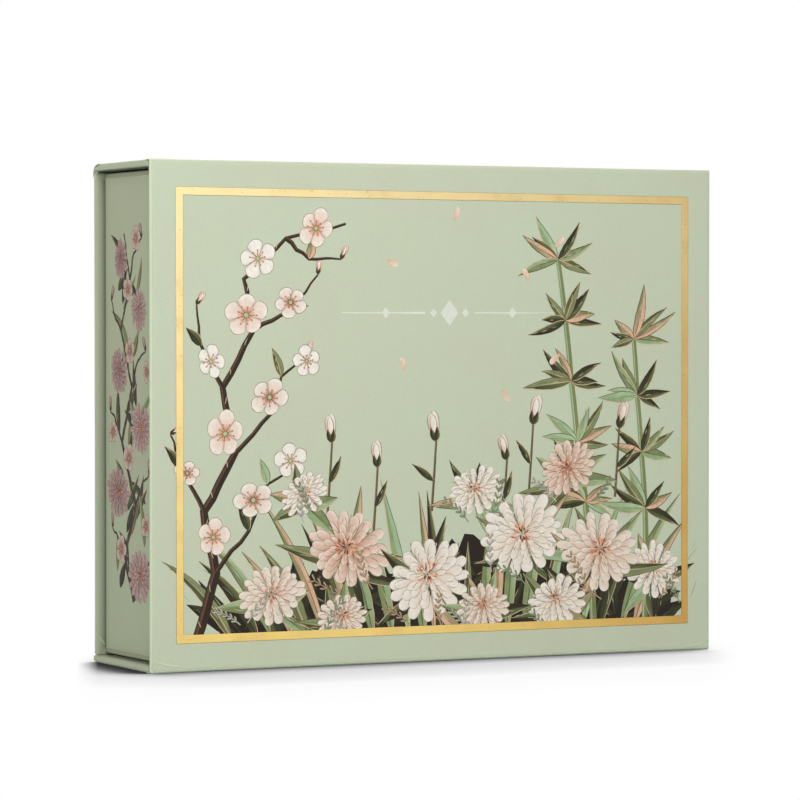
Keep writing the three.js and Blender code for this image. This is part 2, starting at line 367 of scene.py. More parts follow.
def wrapped_panel(body, edge_wear_and_highlight=1.07, painted_crevice_shade=(1.0, 0.0), inner_round=INNER_ROUND, edge_lighting=None):
    """One paper turned round a board: outer face, round edges, turn-ins, and the room for the board.

    The second argument tints the outer edge, partly wear and partly a painted highlight; the third gives the
    painted shade of the inner edge and the turn-in beside it, with its share of the rim.
    """
    place, span, drop, edge_round = PANELS[body]
    middle = 0.4 * min(span[1] - span[0], span[3] - span[2])
    profile = [(inset, drop, 1.0) for inset in (middle, 8, 3, 2.4, 1.8, 1.2)]
    for sine, cosine in quarter():
        tint = 1 + (edge_wear_and_highlight - 1) * sine**3
        profile.append((edge_round * (1 - sine), drop + edge_round * (1 - cosine), tint))
    inner = wrap_depth - inner_round
    profile.append((0, inner, edge_wear_and_highlight))
    # Painted shade: the inner round edge and the turn-in beside it are darkened.
    shade, rim = painted_crevice_shade
    for sine, cosine in quarter()[1:]:
        tint = 1 + (shade - 1) * rim * sine
        profile.append((inner_round * (1 - cosine), inner + inner_round * sine, tint))
    profile.append((1.2, wrap_depth, 1 + (shade - 1) * max(rim, 0.55)))
    profile.append((1.85, wrap_depth, shade))
    turned_in, turn_in = wrap_depth - paper, min(TURN_IN, middle)
    profile += [(3, wrap_depth, 1.0), (turn_in - paper, wrap_depth, 1.0), (turn_in, turned_in, 1.0)]
    profile += [(paper + drop, turned_in, 1.0), (paper + drop, paper, 1.0)]
    shape = stack(place, span, profile, CORNER_ROUND, BOW)
    # The edge-lighting function scales the outer edges' tint: painted highlight where it gives more than 0,
    # painted shade where less.
    if edge_lighting:
        shape.repaint(lambda p, paint: grey(1 + (paint[0] - 1) * edge_lighting(*p)) if paint[0] > 1 else paint)
    make_piece(f"{body}_cover", shape, sage, body, [f"{body}_wrap"])


def lid_edge_lighting(x, y, z):
    """Painted edge light: the left and top edges get a painted highlight, the others painted shade."""
    return 1.0 if x < lid.x0 + 1 or z > top - 1 else -0.3


def core(body):
    """The board inside a wrap, with its pressed round edge."""
    place, span, drop, edge_round = PANELS[body]
    radius = edge_round - paper
    low, high = drop + paper, wrap_depth - paper - SKIN_DROP
    profile = [(3, low, 1.0)]
    for sine, cosine in quarter():
        profile.append((paper + radius * (1 - sine), low + radius * (1 - cosine), 1.0))
    profile += [(paper, high, 1.0), (3, high, 1.0)]
    shape = stack(place, span, profile, CORNER_ROUND)
    make_piece(f"{body}_core", shape, board, body, [f"{body}_board"])


def lining(body, marks=()):
    """A lining sheet glued over the turn-ins, with the low round marks of what lies under it."""
    place = PANELS[body][0]
    sheet = box_of(f"{body}_liner")
    ends = (sheet.z0, sheet.z1) if body in ("lid", "base") else (sheet.y0, sheet.y1)
    face = wrap_depth + LINING
    profile = [(2, wrap_depth, 1.0), (0, wrap_depth, 1.0), (0, face - BEVEL, 1.05), (BEVEL, face, 1.0)]
    shape = stack(place, (sheet.x0, sheet.x1, *ends), profile + [(4, face, 1.0)], 0.4)
    rise = 0.03
    for centre, radius in marks:
        rings = []
        for inset, height in ((-0.6, -BEVEL), (0, rise * 0.6), (0.5, rise), (1.5, rise)):
            circle = [polar(centre, radius - inset, t) for t in turn_steps(48)]
            rings.append([place(u, v, face + height - rise / 2) for u, v in circle])
        join_rings(shape, rings)
    make_piece(f"{body}_lining", shape, cream, body, [f"{body}_liner"])


def cover():
    # Outer edges get a painted highlight, the lid's right and foot edges painted shade, and inner edges
    # painted crevice shade.
    wrapped_panel("lid", 1.6, edge_lighting=lid_edge_lighting)
    wrapped_panel("spine", 1.07, (0.3, 0.5), 0.2)
    core("lid")
    core("spine")
    wrapped_panel("base", 1.3, (0.42, 0.25))
    wrapped_panel("flap", 1.07, (0.4, 0.35), 0.45)
    magnets = [box_of(f"flap_magnet_{side}") for side in ("left", "right")]
    marks = [(((m.x0 + m.x1) / 2, (m.y0 + m.y1) / 2), (m.x1 - m.x0) / 2) for m in magnets]
    for body in ("lid", "spine", "base"):
        lining(body)
    lining("flap", marks)


# Painted light across a fold: one side, crest with a painted highlight, other side in painted shade,
# underside in painted shade
FOLD_LIGHT_AND_SHADE = (grey(1.0), grey(1.09), (0.84, 0.84, 0.82), grey(0.9))
# Creases at the lid's lower corners: side, places in from the edge and up, width and height
LID_CREASES = (
    (-1, ((0.7, 2.7), (1.5, 2.2), (3.0, 1.75), (5.2, 1.4), (8.2, 1.0)), 1.25, 0.14),
    (-1, ((0.5, 0.7), (1.0, 1.2), (1.15, 1.9), (0.7, 2.9)), 0.7, 0.14),
    (-1, ((0.1, 1.1), (0.6, 1.6), (0.75, 2.2)), 0.5, 0.12),
    (1, ((0.5, 3.2), (0.8, 1.9), (1.9, 1.1), (4.2, 0.8), (7.0, 0.7)), 0.6, 0.06),
)
BASE_CREASE = ((0.3, 5.6), (0.8, 4.9), (1.3, 4.3), (1.9, 3.5))
# Crossed folds of the loose paper at both ends of the gap between base and spine, along y and z
EARS = (
    ((14.3, 98.1), (13.9, 97.5), (13.3, 97.2), (12.6, 97.35), (12.1, 97.6)),
    ((14.45, 97.3), (14.0, 96.8), (13.4, 96.7), (12.9, 97.05), (12.7, 97.5)),
    ((14.35, 96.6), (13.9, 96.25), (13.45, 96.4), (13.2, 96.9)),
)


def crease(shape, place, points, width, height, depth, outward):
    """A low fold with a crest, at a face's depth. outward is -1 on an outer face."""
    count = len(points)
    widths = [width * math.sin(math.pi * (0.12 + 0.76 * share)) for share in even(count - 1)]
    sides = swept(points, widths, [-1, -0.25, 1])
    start = len(shape.points)
    for k, share in enumerate(even(count - 1)):
        rise = height * math.sin(math.pi * (0.06 + 0.88 * share))
        for row, lift in zip(sides, (-0.02, rise, -0.02)):
            shape.add([place(*row[k], depth + outward * lift)])
        shape.add([place(*points[k], depth - outward * 0.05)])
    # Each band of the fold takes its painted highlight or painted shade.
    for k in range(count - 1):
        for i in range(4):
            j = (i + 1) % 4
            a, b = start + 4 * k, start + 4 * k + 4
            first, second = FOLD_LIGHT_AND_SHADE[i], FOLD_LIGHT_AND_SHADE[j]
            shape.face((a + i, a + j, b + j, b + i), (first, second, second, first))
    for a in (start, start + 4 * (count - 1)):
        shape.face((a, a + 1, a + 2, a + 3))


def mitres(shape, body):
    """The doubled paper at the four corners of a panel's inner face."""
    place, (a0, a1, b0, b1) = PANELS[body][:2]
    for a, along in ((a0, 1), (a1, -1)):
        for b, up in ((b0, 1), (b1, -1)):
            steps = (0.5, 1.1, 1.8, 2.5, 3.1)
            points = [(a + along * d, b + up * (d + 0.12 * math.sin(2 * d))) for d in steps]
            crease(shape, place, points, 0.4, 0.05, wrap_depth, 1)


def folds():
    """Low creases and doubled paper edges on the panels."""
    shapes = {body: Shape() for body in ("lid", "base", "spine", "flap")}
    for body in ("lid", "spine", "flap"):
        mitres(shapes[body], body)
    for side, places, width, height in LID_CREASES:
        points = [(side * (half - a), b) for a, b in places]
        crease(shapes["lid"], lid_place, points, width, height, FOIL_ROOM, -1)
    for side in (-1, 1):
        points = [(side * (half - a), b) for a, b in BASE_CREASE]
        crease(shapes["base"], base_place, points, 0.5, 0.16, wrap_depth, 1)
    for body, shape in shapes.items():
        make_piece(f"{body}_folds", shape, sage, body, sharp=25)


# Hinge papers: the same wrap where it crosses from panel to panel
def hinge_paper(joint, line, crumple=None):
    """A sheet of paper along a line of (y, z) points, which is its outer face."""
    shape = Shape()
    runs = [direction(line, k) for k in range(len(line))]
    rows = []
    for share in even(HINGE_STATIONS):
        x = -half + 2 * half * (share - 0.1 * math.sin(2 * math.pi * share) / math.pi)
        outer, inner = [], []
        for (y, z), run in zip(line, runs):
            lift = crumple(x, y, z) if crumple else 0.0
            for row, depth in ((outer, lift), (inner, paper - HINGE_THIN + lift)):
                row.append((x, y - run.y * depth, z + run.x * depth))
        rows.append(outer + inner[::-1])
    starts = [shape.add(row) for row in rows]
    count = len(rows[0])
    for low, high in zip(starts, starts[1:]):
        for k in range(count):
            after = (k + 1) % count
            shape.face((low + k, low + after, high + after, high + k))
    for start in (starts[0], starts[-1]):
        for k in range(len(line) - 1):
            shape.face((start + k, start + k + 1, start + count - 2 - k, start + count - 1 - k))
    if crumple:
        for side in (-1, 1):
            for points in EARS:
                crease(shape, lambda a, b, depth: (side * (half - depth), a, b), points, 0.34, 0.14, 0.16, -1)
    nodes = [f"hinge_paper_{joint}"]
    return make_piece(f"hinge_cover_{joint}", shape, sage, None, nodes, sharp=50)


def back_crumple(x, y, z):
    """Small loose folds near the two ends, where the paper bridges the gap between base and spine."""
    near = max(0.0, 1 - (half - abs(x)) / CRUMPLE_REACH) ** 1.5
    gap_middle = (base.z1 + spine.z0) / 2 + 0.3
    across = math.exp(-(((z - gap_middle) / 0.55) ** 2))
    fold = 0.55 + 0.45 * noise.noise(Vector((x * 0.9, y * 0.5, z * 2.2)))
    return CRUMPLE_HEIGHT * near * across * fold


def hinges():
    lid_side, panel_side = lid.y1 - HINGE_LAP, spine.y0 + EDGE_ROUND + 0.05
    ys = [lid_side + (panel_side - lid_side) * share for share in even(14)]
    piece = hinge_paper("spine_lid", [(y, top - HINGE_THIN) for y in reversed(ys)])
    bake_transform(piece)
    piece = hinge_paper("lid_flap", [(y, HINGE_THIN) for y in ys])
    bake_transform(piece)
    low, high = base.z1 - EDGE_ROUND - 0.05, top - COVER
    face = back - HINGE_THIN
    wide, tall = BACK_ROUND - HINGE_THIN, COVER - HINGE_THIN
    rise = [(face, low + (high - low) * share) for share in even(16)[:-1]]
    bend = [(face - wide * (1 - cosine), high + tall * sine) for sine, cosine in quarter(12)]
    piece = hinge_paper("base_spine", rise + bend, back_crumple)
    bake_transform(piece)


# Foil line pressed into the lid: bar widths, and how far its corners stand off the solid's
FOIL_LEFT, FOIL_RIGHT, FOIL_FOOT, FOIL_HEAD = 1.5, 1.48, 1.62, 1.56
FOIL_OFF_LEFT, FOIL_OFF_RIGHT, FOIL_RISE_LEFT, FOIL_FALL_RIGHT = 0.06, 0.16, 0.1, 0.2
FOIL_STEPS = 60
RAGGED = 0.018


def foil_line():
    shape = Shape()
    bevel, rise = 0.05, 0.035
    profile = [(0, 0), (0, rise * 0.4), (bevel, rise), (1 - bevel, rise), (1, rise * 0.4), (1, 0)]
    rings = []
    for share, height in profile:
        a0 = foil.x0 - FOIL_OFF_LEFT + FOIL_LEFT * share
        a1 = foil.x1 - FOIL_OFF_RIGHT - FOIL_RIGHT * share
        foot, head = foil.z0 + FOIL_FOOT * share, foil.z1 - FOIL_HEAD * share
        corners = [(a0, foot), (a1, foot), (a1, head - FOIL_FALL_RIGHT), (a0, head + FOIL_RISE_LEFT)]
        ring = []
        for k, corner in enumerate(corners):
            ahead = corners[(k + 1) % 4]
            upright = abs(ahead[1] - corner[1]) > 1
            for i in range(FOIL_STEPS):
                a, b = between(corner, ahead, i / FOIL_STEPS)
                ragged = RAGGED * noise.noise(Vector((a, b, share * 12.6))) if i else 0
                a, b = (a + ragged, b) if upright else (a, b + ragged)
                ring.append((a, front + 0.05 - height, b))
        rings.append(ring)
    # The foil's side walls and bevels are painted darker than its face.
    join_rings(shape, rings, [0.3, 0.35, 1.0, 1.0, 0.35, 0.3], closed=True)
    make_piece("lid_foil_line", shape, gold, "lid", ["lid_foil_frame"], sharp=8)


# Printed motifs
LINE = 0.13
CELL = 0.8


class Print:
    """Motifs on a flat sheet, as thin coloured plates. Each lies above whatever it overlaps."""

    def __init__(self, *limits):
        self.limits = limits
        self.plates = []
        self.heights = {}

    def lay(self, *plates):
        """Plates of (rows, bands, closed) on one level. Those past the sheet's edge are left out."""
        a0, a1, b0, b1 = self.limits
        held = []
        cells = set()
        for rows, bands, closed in plates:
            across, up = zip(*(rows[0] + rows[-1]))
            if max(across) > a1 or min(across) < a0 or max(up) < b0:
                continue
            rows = [[(a, min(max(b, b0), b1)) for a, b in row] for row in rows]
            held.append((rows, bands, closed))
            cells |= self.covered(rows, closed)
        if not held:
            return
        level = 1 + max(self.heights.get(cell, 0) for cell in cells)
        self.heights.update((cell, level) for cell in cells)
        self.plates += [(level, *plate) for plate in held]

    def covered(self, rows, closed):
        """The cells that a plate touches."""
        near = rows[0]
        far = [tuple(sum(c) / len(near) for c in zip(*near))] * len(near) if closed else rows[-1]
        cells = set()
        for k, (p, q) in enumerate(zip(near, far)):
            r, s = (near[k - 1], far[k - 1]) if k or closed else (p, q)
            spans = 1 + int(max(math.dist(p, r), math.dist(q, s)) / CELL)
            steps = 1 + int(math.dist(p, q) / CELL)
            for i in range(spans):
                start, end = between(p, r, i / spans), between(q, s, i / spans)
                for share in even(steps):
                    a, b = between(start, end, share)
                    cells.add((int(a // CELL), int(b // CELL)))
        return cells

    def shape(self, place, room):
        """The plates as one mesh. Upper faces come last and in order, so a flat map keeps the top ones."""
        made = Shape()
        self.plates.sort(key=lambda plate: plate[0])
        step = room / self.plates[-1][0]
        upper = []
        for level, rows, bands, closed in self.plates:
            high = [[made.add([place(a, b, level * step)]) for a, b in row] for row in rows]
            upper.append((high, bands, closed))
            self.skirt(made, place, rows, high, bands, closed, (level - 0.7) * step)
        for high, bands, closed in upper:
            count = len(high[0])
            for k, (near, far) in enumerate(bands):
                for i in range(count if closed else count - 1):
                    j = (i + 1) % count
                    corners = (high[k][i], high[k][j], high[k + 1][j], high[k + 1][i])
                    made.face(corners, (near[i], near[j], far[j], far[i]))
            if closed:
                made.face(high[-1], list(bands[-1][1]))
        return made

    def skirt(self, made, place, rows, high, bands, closed, low):
        """A plate's edge and underside."""
        count = len(rows[0])
        loop = [(0, i, bands[0][0][i]) for i in range(count)]
        if not closed:
            last = len(rows) - 1
            loop += [(k, count - 1, bands[k][0][-1]) for k in range(1, last)]
            loop += [(last, i, bands[-1][1][i]) for i in reversed(range(count))]
            loop += [(k, 0, bands[k][0][0]) for k in reversed(range(1, last))]
        under = made.add([place(*rows[k][i], low) for k, i, _ in loop])
        for n, (k, i, paint) in enumerate(loop):
            m = (n + 1) % len(loop)
            next_k, next_i, next_paint = loop[m]
            corners = (high[k][i], high[next_k][next_i], under + m, under + n)
            made.face(corners, (paint, next_paint, next_paint, paint))
        made.face(range(under, under + len(loop)), [paint for _, _, paint in loop])


def inner_line(width):
    """Where a motif's outline ends, as a share of the half width."""
    return max(1 - 2 * LINE / width, 0.4)


def outer_line(width):
    return -inner_line(width)


def leaf_plate(root, length, angle, width, bend, tones, steps=12):
    """A slender leaf. tones are its two edges, root half, tip half, shade and rib."""
    left, right, low, tip, shade, rib = tones
    shares = even(steps)
    points = curve(root, length, angle, bend, shares)
    swell = [math.sin(math.pi * s**0.72) ** 0.9 for s in shares]
    widths = [max(width * s * rng.uniform(0.94, 1.04), 0.09) for s in swell]
    one = [varied(mixed(low, tip, s), 0.12) for s in shares]
    inner = [varied(mixed(low, mixed(tip, shade, 0.45), s), 0.12) for s in shares]
    two = [varied(mixed(low, shade, min(1.0, 0.3 + s)), 0.12) for s in shares]
    vein = [mixed(rib, low, s) for s in shares]
    edges = [[varied(c, 0.15) for _ in shares] for c in (left, right)]
    bands = [(edges[0], edges[0]), (one, inner), (vein, vein), (two, two), (edges[1], edges[1])]
    return swept(points, widths, [-1, outer_line, -0.12, 0.12, inner_line, 1]), bands, False


def leaf(sheet, root, length, angle, width, bend, tones, steps=12):
    """A leaf and a few brush marks along it."""
    sheet.lay(leaf_plate(root, length, angle, width, bend, tones, steps))
    marks = []
    for share in (0.3, 0.55, 0.75):
        if length > 5 and rng.random() < 0.75:
            middle = curve(root, length, angle, bend, even(8))[int(share * 8)]
            heading = angle + bend * share
            spot = polar(middle, width * rng.uniform(-0.22, 0.22), math.radians(heading + 90))
            tone = rng.choice((tones[3], tones[4], TAN, MINT))
            marks.append(dab_plate(spot, length * 0.16, heading, 0.16, mixed(tone, tones[3], 0.35)))
    sheet.lay(*marks)


def stroke(sheet, points, start_width, end_width, colour, light=None):
    """A tapering line with one side lit."""
    widths = [start_width + (end_width - start_width) * share for share in even(len(points) - 1)]
    dark = [varied(colour, 0.12) for _ in points]
    bright = [varied(light or colour, 0.12) for _ in points]
    sheet.lay((swept(points, widths, [-1, 0.2, 1]), [(dark, dark), (bright, dark)], False))


def dab_plate(root, length, angle, width, colour):
    """A short brush mark."""
    points = curve(root, length, angle, rng.uniform(-25, 25), even(4))
    widths = [width * w for w in (0.3, 0.9, 1.0, 0.7, 0.15)]
    paint = [varied(colour, 0.06) for _ in points]
    return swept(points, widths, [-1, 1]), [(paint, paint)], False


def dot(sheet, centre, radius, rim, fill):
    turns = turn_steps(12)
    rows = [[polar(centre, radius * share, t) for t in turns] for share in (1.0, 0.78, 0.4)]
    edge, body, middle = ([varied(c, 0.08) for _ in turns] for c in (rim, fill, fill))
    sheet.lay((rows, [(edge, edge), (body, middle)], True))


PETAL_SHARES = (0.0, 0.2, 0.42, 0.62, 0.78, 0.9, 0.97, 1.0)


def petal_plate(root, length, angle, width, tones, curl):
    """One petal, from its narrow root to its round tip. tones are outline, rim, body, throat."""
    outline, rim, body, throat = tones
    shares = PETAL_SHARES
    widths = [width * (0.35 + 0.65 * s) * math.sqrt(1.001 - s**5) for s in shares]
    points = curve(root, length, angle, curl, shares)
    fold = rng.uniform(-0.3, 0.3)
    rows = swept(points, widths, [-1, outer_line, fold, inner_line, 1])
    edges = [[varied(mixed(outline, body, rng.uniform(0, 0.5)), 0.1) for _ in shares] for _ in (0, 1)]
    light = [varied(mixed(mixed(throat, body, min(1, 2 * s)), rim, max(0, 2 * s - 1)), 0.03) for s in shares]
    middle = [varied(mixed(throat, body, s), 0.04) for s in shares]
    shade = [varied(mixed(mixed(throat, body, s), outline, 0.12), 0.03) for s in shares]
    return rows, [(edges[0], edges[0]), (light, middle), (middle, shade), (edges[1], edges[1])], False


# Rings of a flower head: petals, where they start and end, and their width, as shares of the radius
PETAL_RINGS = (
    (16, 0.42, 1.0, 0.37),
    (14, 0.3, 0.82, 0.33),
    (12, 0.2, 0.62, 0.28),
    (10, 0.1, 0.44, 0.23),
    (6, 0.02, 0.25, 0.15),
)
HEART_MARKS = 34


def chrysanthemum(sheet, centre, radius, tones, squash=0.86, turn=0.0, lean=(0.0, 0.0)):
    """A full flower head: rings of petals, each over the one outside it, and a warm heart."""
    outline, rim, body, throat, heart = tones

    def spot(share, angle, ring):
        shift = ring / len(PETAL_RINGS)
        middle = (centre[0] + lean[0] * shift, centre[1] + lean[1] * shift)
        return turned(middle, *polar((0, 0), radius * share, angle, squash), turn)

    for ring, (count, near, far, width) in enumerate(PETAL_RINGS):
        depth = ring / (len(PETAL_RINGS) - 1)
        warm = mixed(body, throat, 0.6 * depth)
        low = mixed(mixed(throat, body, 0.3), heart, 0.35 + 0.5 * depth)
        petals = []
        for k in range(count):
            angle = 2 * math.pi * (k + 0.5 * (ring % 2) + rng.uniform(-0.12, 0.12)) / count
            root, tip = spot(near, angle, ring), spot(far * rng.uniform(0.9, 1.05), angle, ring)
            heading = math.degrees(math.atan2(tip[1] - root[1], tip[0] - root[0]))
            wide = radius * width * rng.uniform(0.85, 1.1) * (squash + (1 - squash) * abs(math.sin(angle)))
            own = mixed(rim, rng.choice((rim, PETAL_WHITE, PETAL_PINK, PETAL_CREAM)), 0.6)
            tint = (mixed(outline, throat, 0.2), own, warm, low)
            petals.append(petal_plate(root, math.dist(root, tip), heading, wide, tint, rng.uniform(-14, 14)))
        sheet.lay(*petals[::2])
        sheet.lay(*petals[1::2])
        marks = []
        for k in range(count // 2):
            angle = 2 * math.pi * (k * 2 + rng.uniform(0.2, 0.8)) / count
            place = spot(near + (far - near) * rng.uniform(0.5, 0.75), angle, ring)
            colour = rng.choice((PETAL_WHITE, rim, throat, mixed(outline, body, 0.3)))
            tilt = math.degrees(angle + turn) + rng.uniform(-15, 15)
            marks.append(dab_plate(place, radius * rng.uniform(0.08, 0.17), tilt, 0.17, colour))
        sheet.lay(*marks)
    for _ in range(HEART_MARKS):
        far, angle = 0.2 * math.sqrt(rng.random()), rng.uniform(0, 2 * math.pi)
        colour = rng.choice((heart, APRICOT, RUST, PEACH) if far > 0.08 else (RUST, UMBER, BARK))
        tilt = math.degrees(angle + turn) + rng.uniform(-30, 30)
        sheet.lay(dab_plate(spot(far, angle, len(PETAL_RINGS)), radius * 0.1, tilt, radius * 0.035, colour))


BLOSSOM_PETALS = 5
BLOSSOM_SHARES = (0, 0.03, 0.1, 0.25, 0.4, 0.47, 0.5, 0.53, 0.6, 0.75, 0.9, 0.97)
STAMENS = 9


def plum_blossom(sheet, centre, radius, tones, squash=0.9, turn=0.0):
    """Five round petals, with stamens round a green eye."""
    outline, rim, body, throat, heart = tones
    places = [p + share for p in range(BLOSSOM_PETALS) for share in BLOSSOM_SHARES]
    lobes = [abs(math.cos(math.pi * (place - 0.5))) for place in places]
    sizes = [radius * rng.uniform(0.92, 1.08) for _ in range(BLOSSOM_PETALS)]
    rows = []
    for share, inset in ((1.0, 0.0), (1.0, LINE), (0.72, 0.0), (0.4, 0.0), (0.12, 0.0)):
        row = []
        for place, lobe in zip(places, lobes):
            reach = (sizes[int(place)] * (0.66 + 0.34 * lobe**0.5) - inset) * share
            angle = 2 * math.pi * place / BLOSSOM_PETALS
            row.append(turned(centre, *polar((0, 0), reach, angle, squash), turn))
        rows.append(row)

    def cleft(colour):
        """The colour, darker where two petals meet."""
        return [mixed(varied(colour, 0.04), outline, 0.8 * (1 - lobe) ** 6) for lobe in lobes]

    line = [varied(mixed(outline, body, rng.uniform(0, 0.4)), 0.1) for _ in places]
    soft = mixed(rim, body, 0.6)
    bands = [(line, line), (cleft(rim), cleft(soft)), (cleft(soft), cleft(body))]
    bands.append((cleft(mixed(body, throat, 0.4)), cleft(heart)))
    sheet.lay((rows, bands, True))
    for k in range(STAMENS):
        tip = polar(centre, radius * rng.uniform(0.34, 0.5), 2 * math.pi * k / STAMENS + turn, squash)
        stroke(sheet, [centre, tip], 0.12, 0.08, BARK)
        dot(sheet, tip, 0.18, UMBER, APRICOT)
    dot(sheet, centre, radius * 0.12, OLIVE, MINT)


def bud(sheet, root, length, angle, tones):
    """A closed bud on its calyx."""
    outline, rim, body, throat, heart = tones
    outer = (outline, rim, body, heart)
    for side, size in ((1, 1.0), (-1, 0.93)):
        sheet.lay(petal_plate(root, length * size, angle - side * 12, length * 0.42, outer, side * 18))
    sheet.lay(petal_plate(root, length * 0.86, angle, length * 0.34, (outline, PETAL_WHITE, rim, throat), 0))
    for side in (1, -1):
        leaf(sheet, root, length * 0.5, angle + side * 28, length * 0.22, -side * 30, LEAF_DARK, 6)


# Tones of leaves: left edge, right edge, root half, tip half, shade, rib
LEAF_GREEN = (TAN, UMBER, LEAF, MINT, OLIVE, FOREST)
LEAF_OLIVE = (BARK, TAN, OLIVE, LEAF, FOREST, TAN)
LEAF_TAN = (BARK, UMBER, PEACH, TAN, OLIVE, BARK)
LEAF_DARK = (TAN, UMBER, FOREST, OLIVE, UMBER, UMBER)
LEAF_NIGHT = (UMBER, UMBER, GROUND, FOREST, GROUND, FOREST)
LEAF_MINT = (BARK, TAN, MINT, SEAFOAM, LEAF, OLIVE)
LEAF_KINDS = (LEAF_GREEN, LEAF_OLIVE, LEAF_TAN, LEAF_DARK, LEAF_MINT, LEAF_DARK)

# Tones of blossoms: outline, rim, body, throat, heart
IVORY = (BARK, PETAL_WHITE, PETAL_CREAM, PETAL_PINK, APRICOT)
BLUSH = (BARK, PETAL_WHITE, PETAL_PINK, PEACH, RUST)
SNOW = (BARK, PETAL_WHITE, PETAL_WHITE, PETAL_CREAM, PEACH)
PINK_PLUM = (RUST, PETAL_WHITE, PETAL_PINK, PEACH, APRICOT)
DUSK = (PLUM, ROSE, ROSE, MAUVE, RUST)
DUSK_PALE = (PLUM, PETAL_PINK, ROSE, MAUVE, APRICOT)


def fan(sheet, root, angle, count, length, width, spread):
    """Leaves that spread from one joint."""
    for share in even(count - 1):
        turn = angle + spread * (share - 0.5) + rng.uniform(-9, 9)
        size = length * rng.uniform(0.65, 1.1)
        wide, bend = width * rng.uniform(0.8, 1.15), rng.uniform(-22, 22)
        leaf(sheet, root, size, turn, wide, bend, rng.choice(LEAF_KINDS))


def culm(sheet, root, joints, angle, length, width):
    """A bamboo stem of straight joints. Returns the places of its nodes."""
    nodes = [root]
    for k in range(joints):
        points = curve(nodes[-1], length, angle, 2.5, even(3))
        stroke(sheet, points, width * (1 - 0.06 * k), width * (0.96 - 0.06 * k), OLIVE, MINT)
        a, b = points[-1]
        side = width * 0.7
        stroke(sheet, [(a - side, b), (a + side, b + 0.1)], 0.32, 0.3, BARK, TAN)
        nodes.append((a, b))
        angle += rng.uniform(-3, 4)
    return nodes


def twig(sheet, points, start_width, end_width):
    """An angular branch through the points, a little uneven."""
    line = []
    for start, end in zip(points, points[1:]):
        for share in even(4)[:-1]:
            shake = 0.25 if share else 0
            a, b = between(start, end, share)
            line.append((a + rng.uniform(-shake, shake), b + rng.uniform(-shake, shake)))
    line.append(points[-1])
    stroke(sheet, line, start_width, end_width, UMBER, BARK)
    if start_width > 1:
        sheet.lay(*[dab_plate(p, 1.6, rng.uniform(60, 120), 0.16, TAN) for p in line[1:-1:2]])


def dark_clump(sheet, centre, width, height):
    """A patch of deep shade with a ragged rim."""
    turns = turn_steps(22)
    ragged = [rng.uniform(0.75, 1.1) for _ in turns]
    rows = []
    for share in (1.0, 0.6):
        rows.append([polar(centre, width * r * share, t, height / width) for t, r in zip(turns, ragged)])
    paint = [varied(GROUND, 0.1) for _ in turns]
    sheet.lay((rows, [(paint, paint)], True))


def sprig(sheet, root, length, angle, colour):
    """A fine stem with pairs of tiny leaves."""
    bend = rng.uniform(-40, 40)
    points = curve(root, length, angle, bend, even(5))
    stroke(sheet, points, 0.24, 0.12, mixed(colour, BARK, 0.4))
    tones = (BARK, colour, mixed(colour, OLIVE, 0.3), mixed(colour, OLIVE, 0.6))
    for k, spot in enumerate(points[1:]):
        for side in (-1, 1):
            heading = angle + bend * (k + 1) / 5 + side * 42
            sheet.lay(petal_plate(spot, length * 0.2, heading, 0.62, tones, -side * 20))


# The lid's print inside the foil line: left, right, foot and head
LID_SHEET = (-60.6, 60.7, 6.4, 92.6)
FOOT = LID_SHEET[2]
CLUMPS, NIGHT_BLADES, TALL_BLADES = 14, 80, 30
# Bamboo stems: root, joints, angle, length of a joint, width
CULMS = (((35, FOOT), 6, 92, 12.4, 1.6), ((47, FOOT), 5, 87, 11.6, 1.4))
PLUM_TRUNK = (
    (-53, 5), (-49, 19), (-51.5, 31), (-45, 42), (-47.5, 55), (-41, 66), (-43, 76), (-34, 84), (-21, 87),
)
PLUM_SPURS = (
    ((-49, 19), (-42, 27), (-38, 36), (-31, 40)),
    ((-45, 42), (-37, 50), (-35, 57), (-29, 61)),
    ((-51.5, 31), (-56, 39), (-58.5, 46)),
    ((-47.5, 55), (-52, 63), (-53, 71)),
    ((-41, 66), (-33, 70), (-27, 77)),
    ((-34, 84), (-29, 80), (-22, 80)),
)
# Blossoms on the branch: across, up and radius
PLUM_BLOSSOMS = (
    (-49.5, 26, 3.8), (-41, 33, 4.4), (-33, 40.5, 3.6), (-47, 46, 4.5), (-37.5, 53, 4.1), (-50, 60, 3.4),
    (-42.5, 69, 4.6), (-33, 71.5, 3.6), (-40, 80, 3.9), (-27.5, 86, 4.1), (-55, 38.5, 2.9), (-29.5, 60, 3.1),
)
# Flower heads: across, up, radius, tones, squash and turn
HEADS = (
    (-37, 14.5, 7.2, IVORY, 0.8, 0.3), (49, 17, 6.6, SNOW, 0.85, -0.4), (8, 34, 6.4, SNOW, 0.75, 0.2),
    (-20.5, 23, 9.2, BLUSH, 0.84, -0.3), (29, 38, 6.8, BLUSH, 0.8, 0.5), (18.5, 25, 9.6, SNOW, 0.88, 0.2),
    (36, 21, 9.4, IVORY, 0.86, -0.2), (-2.5, 16.5, 9.4, SNOW, 0.86, 0.4), (-30, 34, 5.4, SNOW, 0.74, 0.6),
    (9.5, 10.5, 6.0, IVORY, 0.8, 0.1), (26.5, 11, 6.6, SNOW, 0.82, 0.3), (-22, 9.5, 5.6, IVORY, 0.8, 0.2),
)
# Buds on long stems: across, up and angle
TALL_BUDS = ((-14, 39, 95), (21, 47, 80), (-1, 44, 100), (15, 40, 105), (41, 46, 75), (-24, 44, 96))
LOOSE_PETALS = ((-12, 80), (3, 88), (26, 83), (14, 54), (-8, 58), (27, 61), (20, 76))
ORNAMENT_AT = (2.0, 69.5)


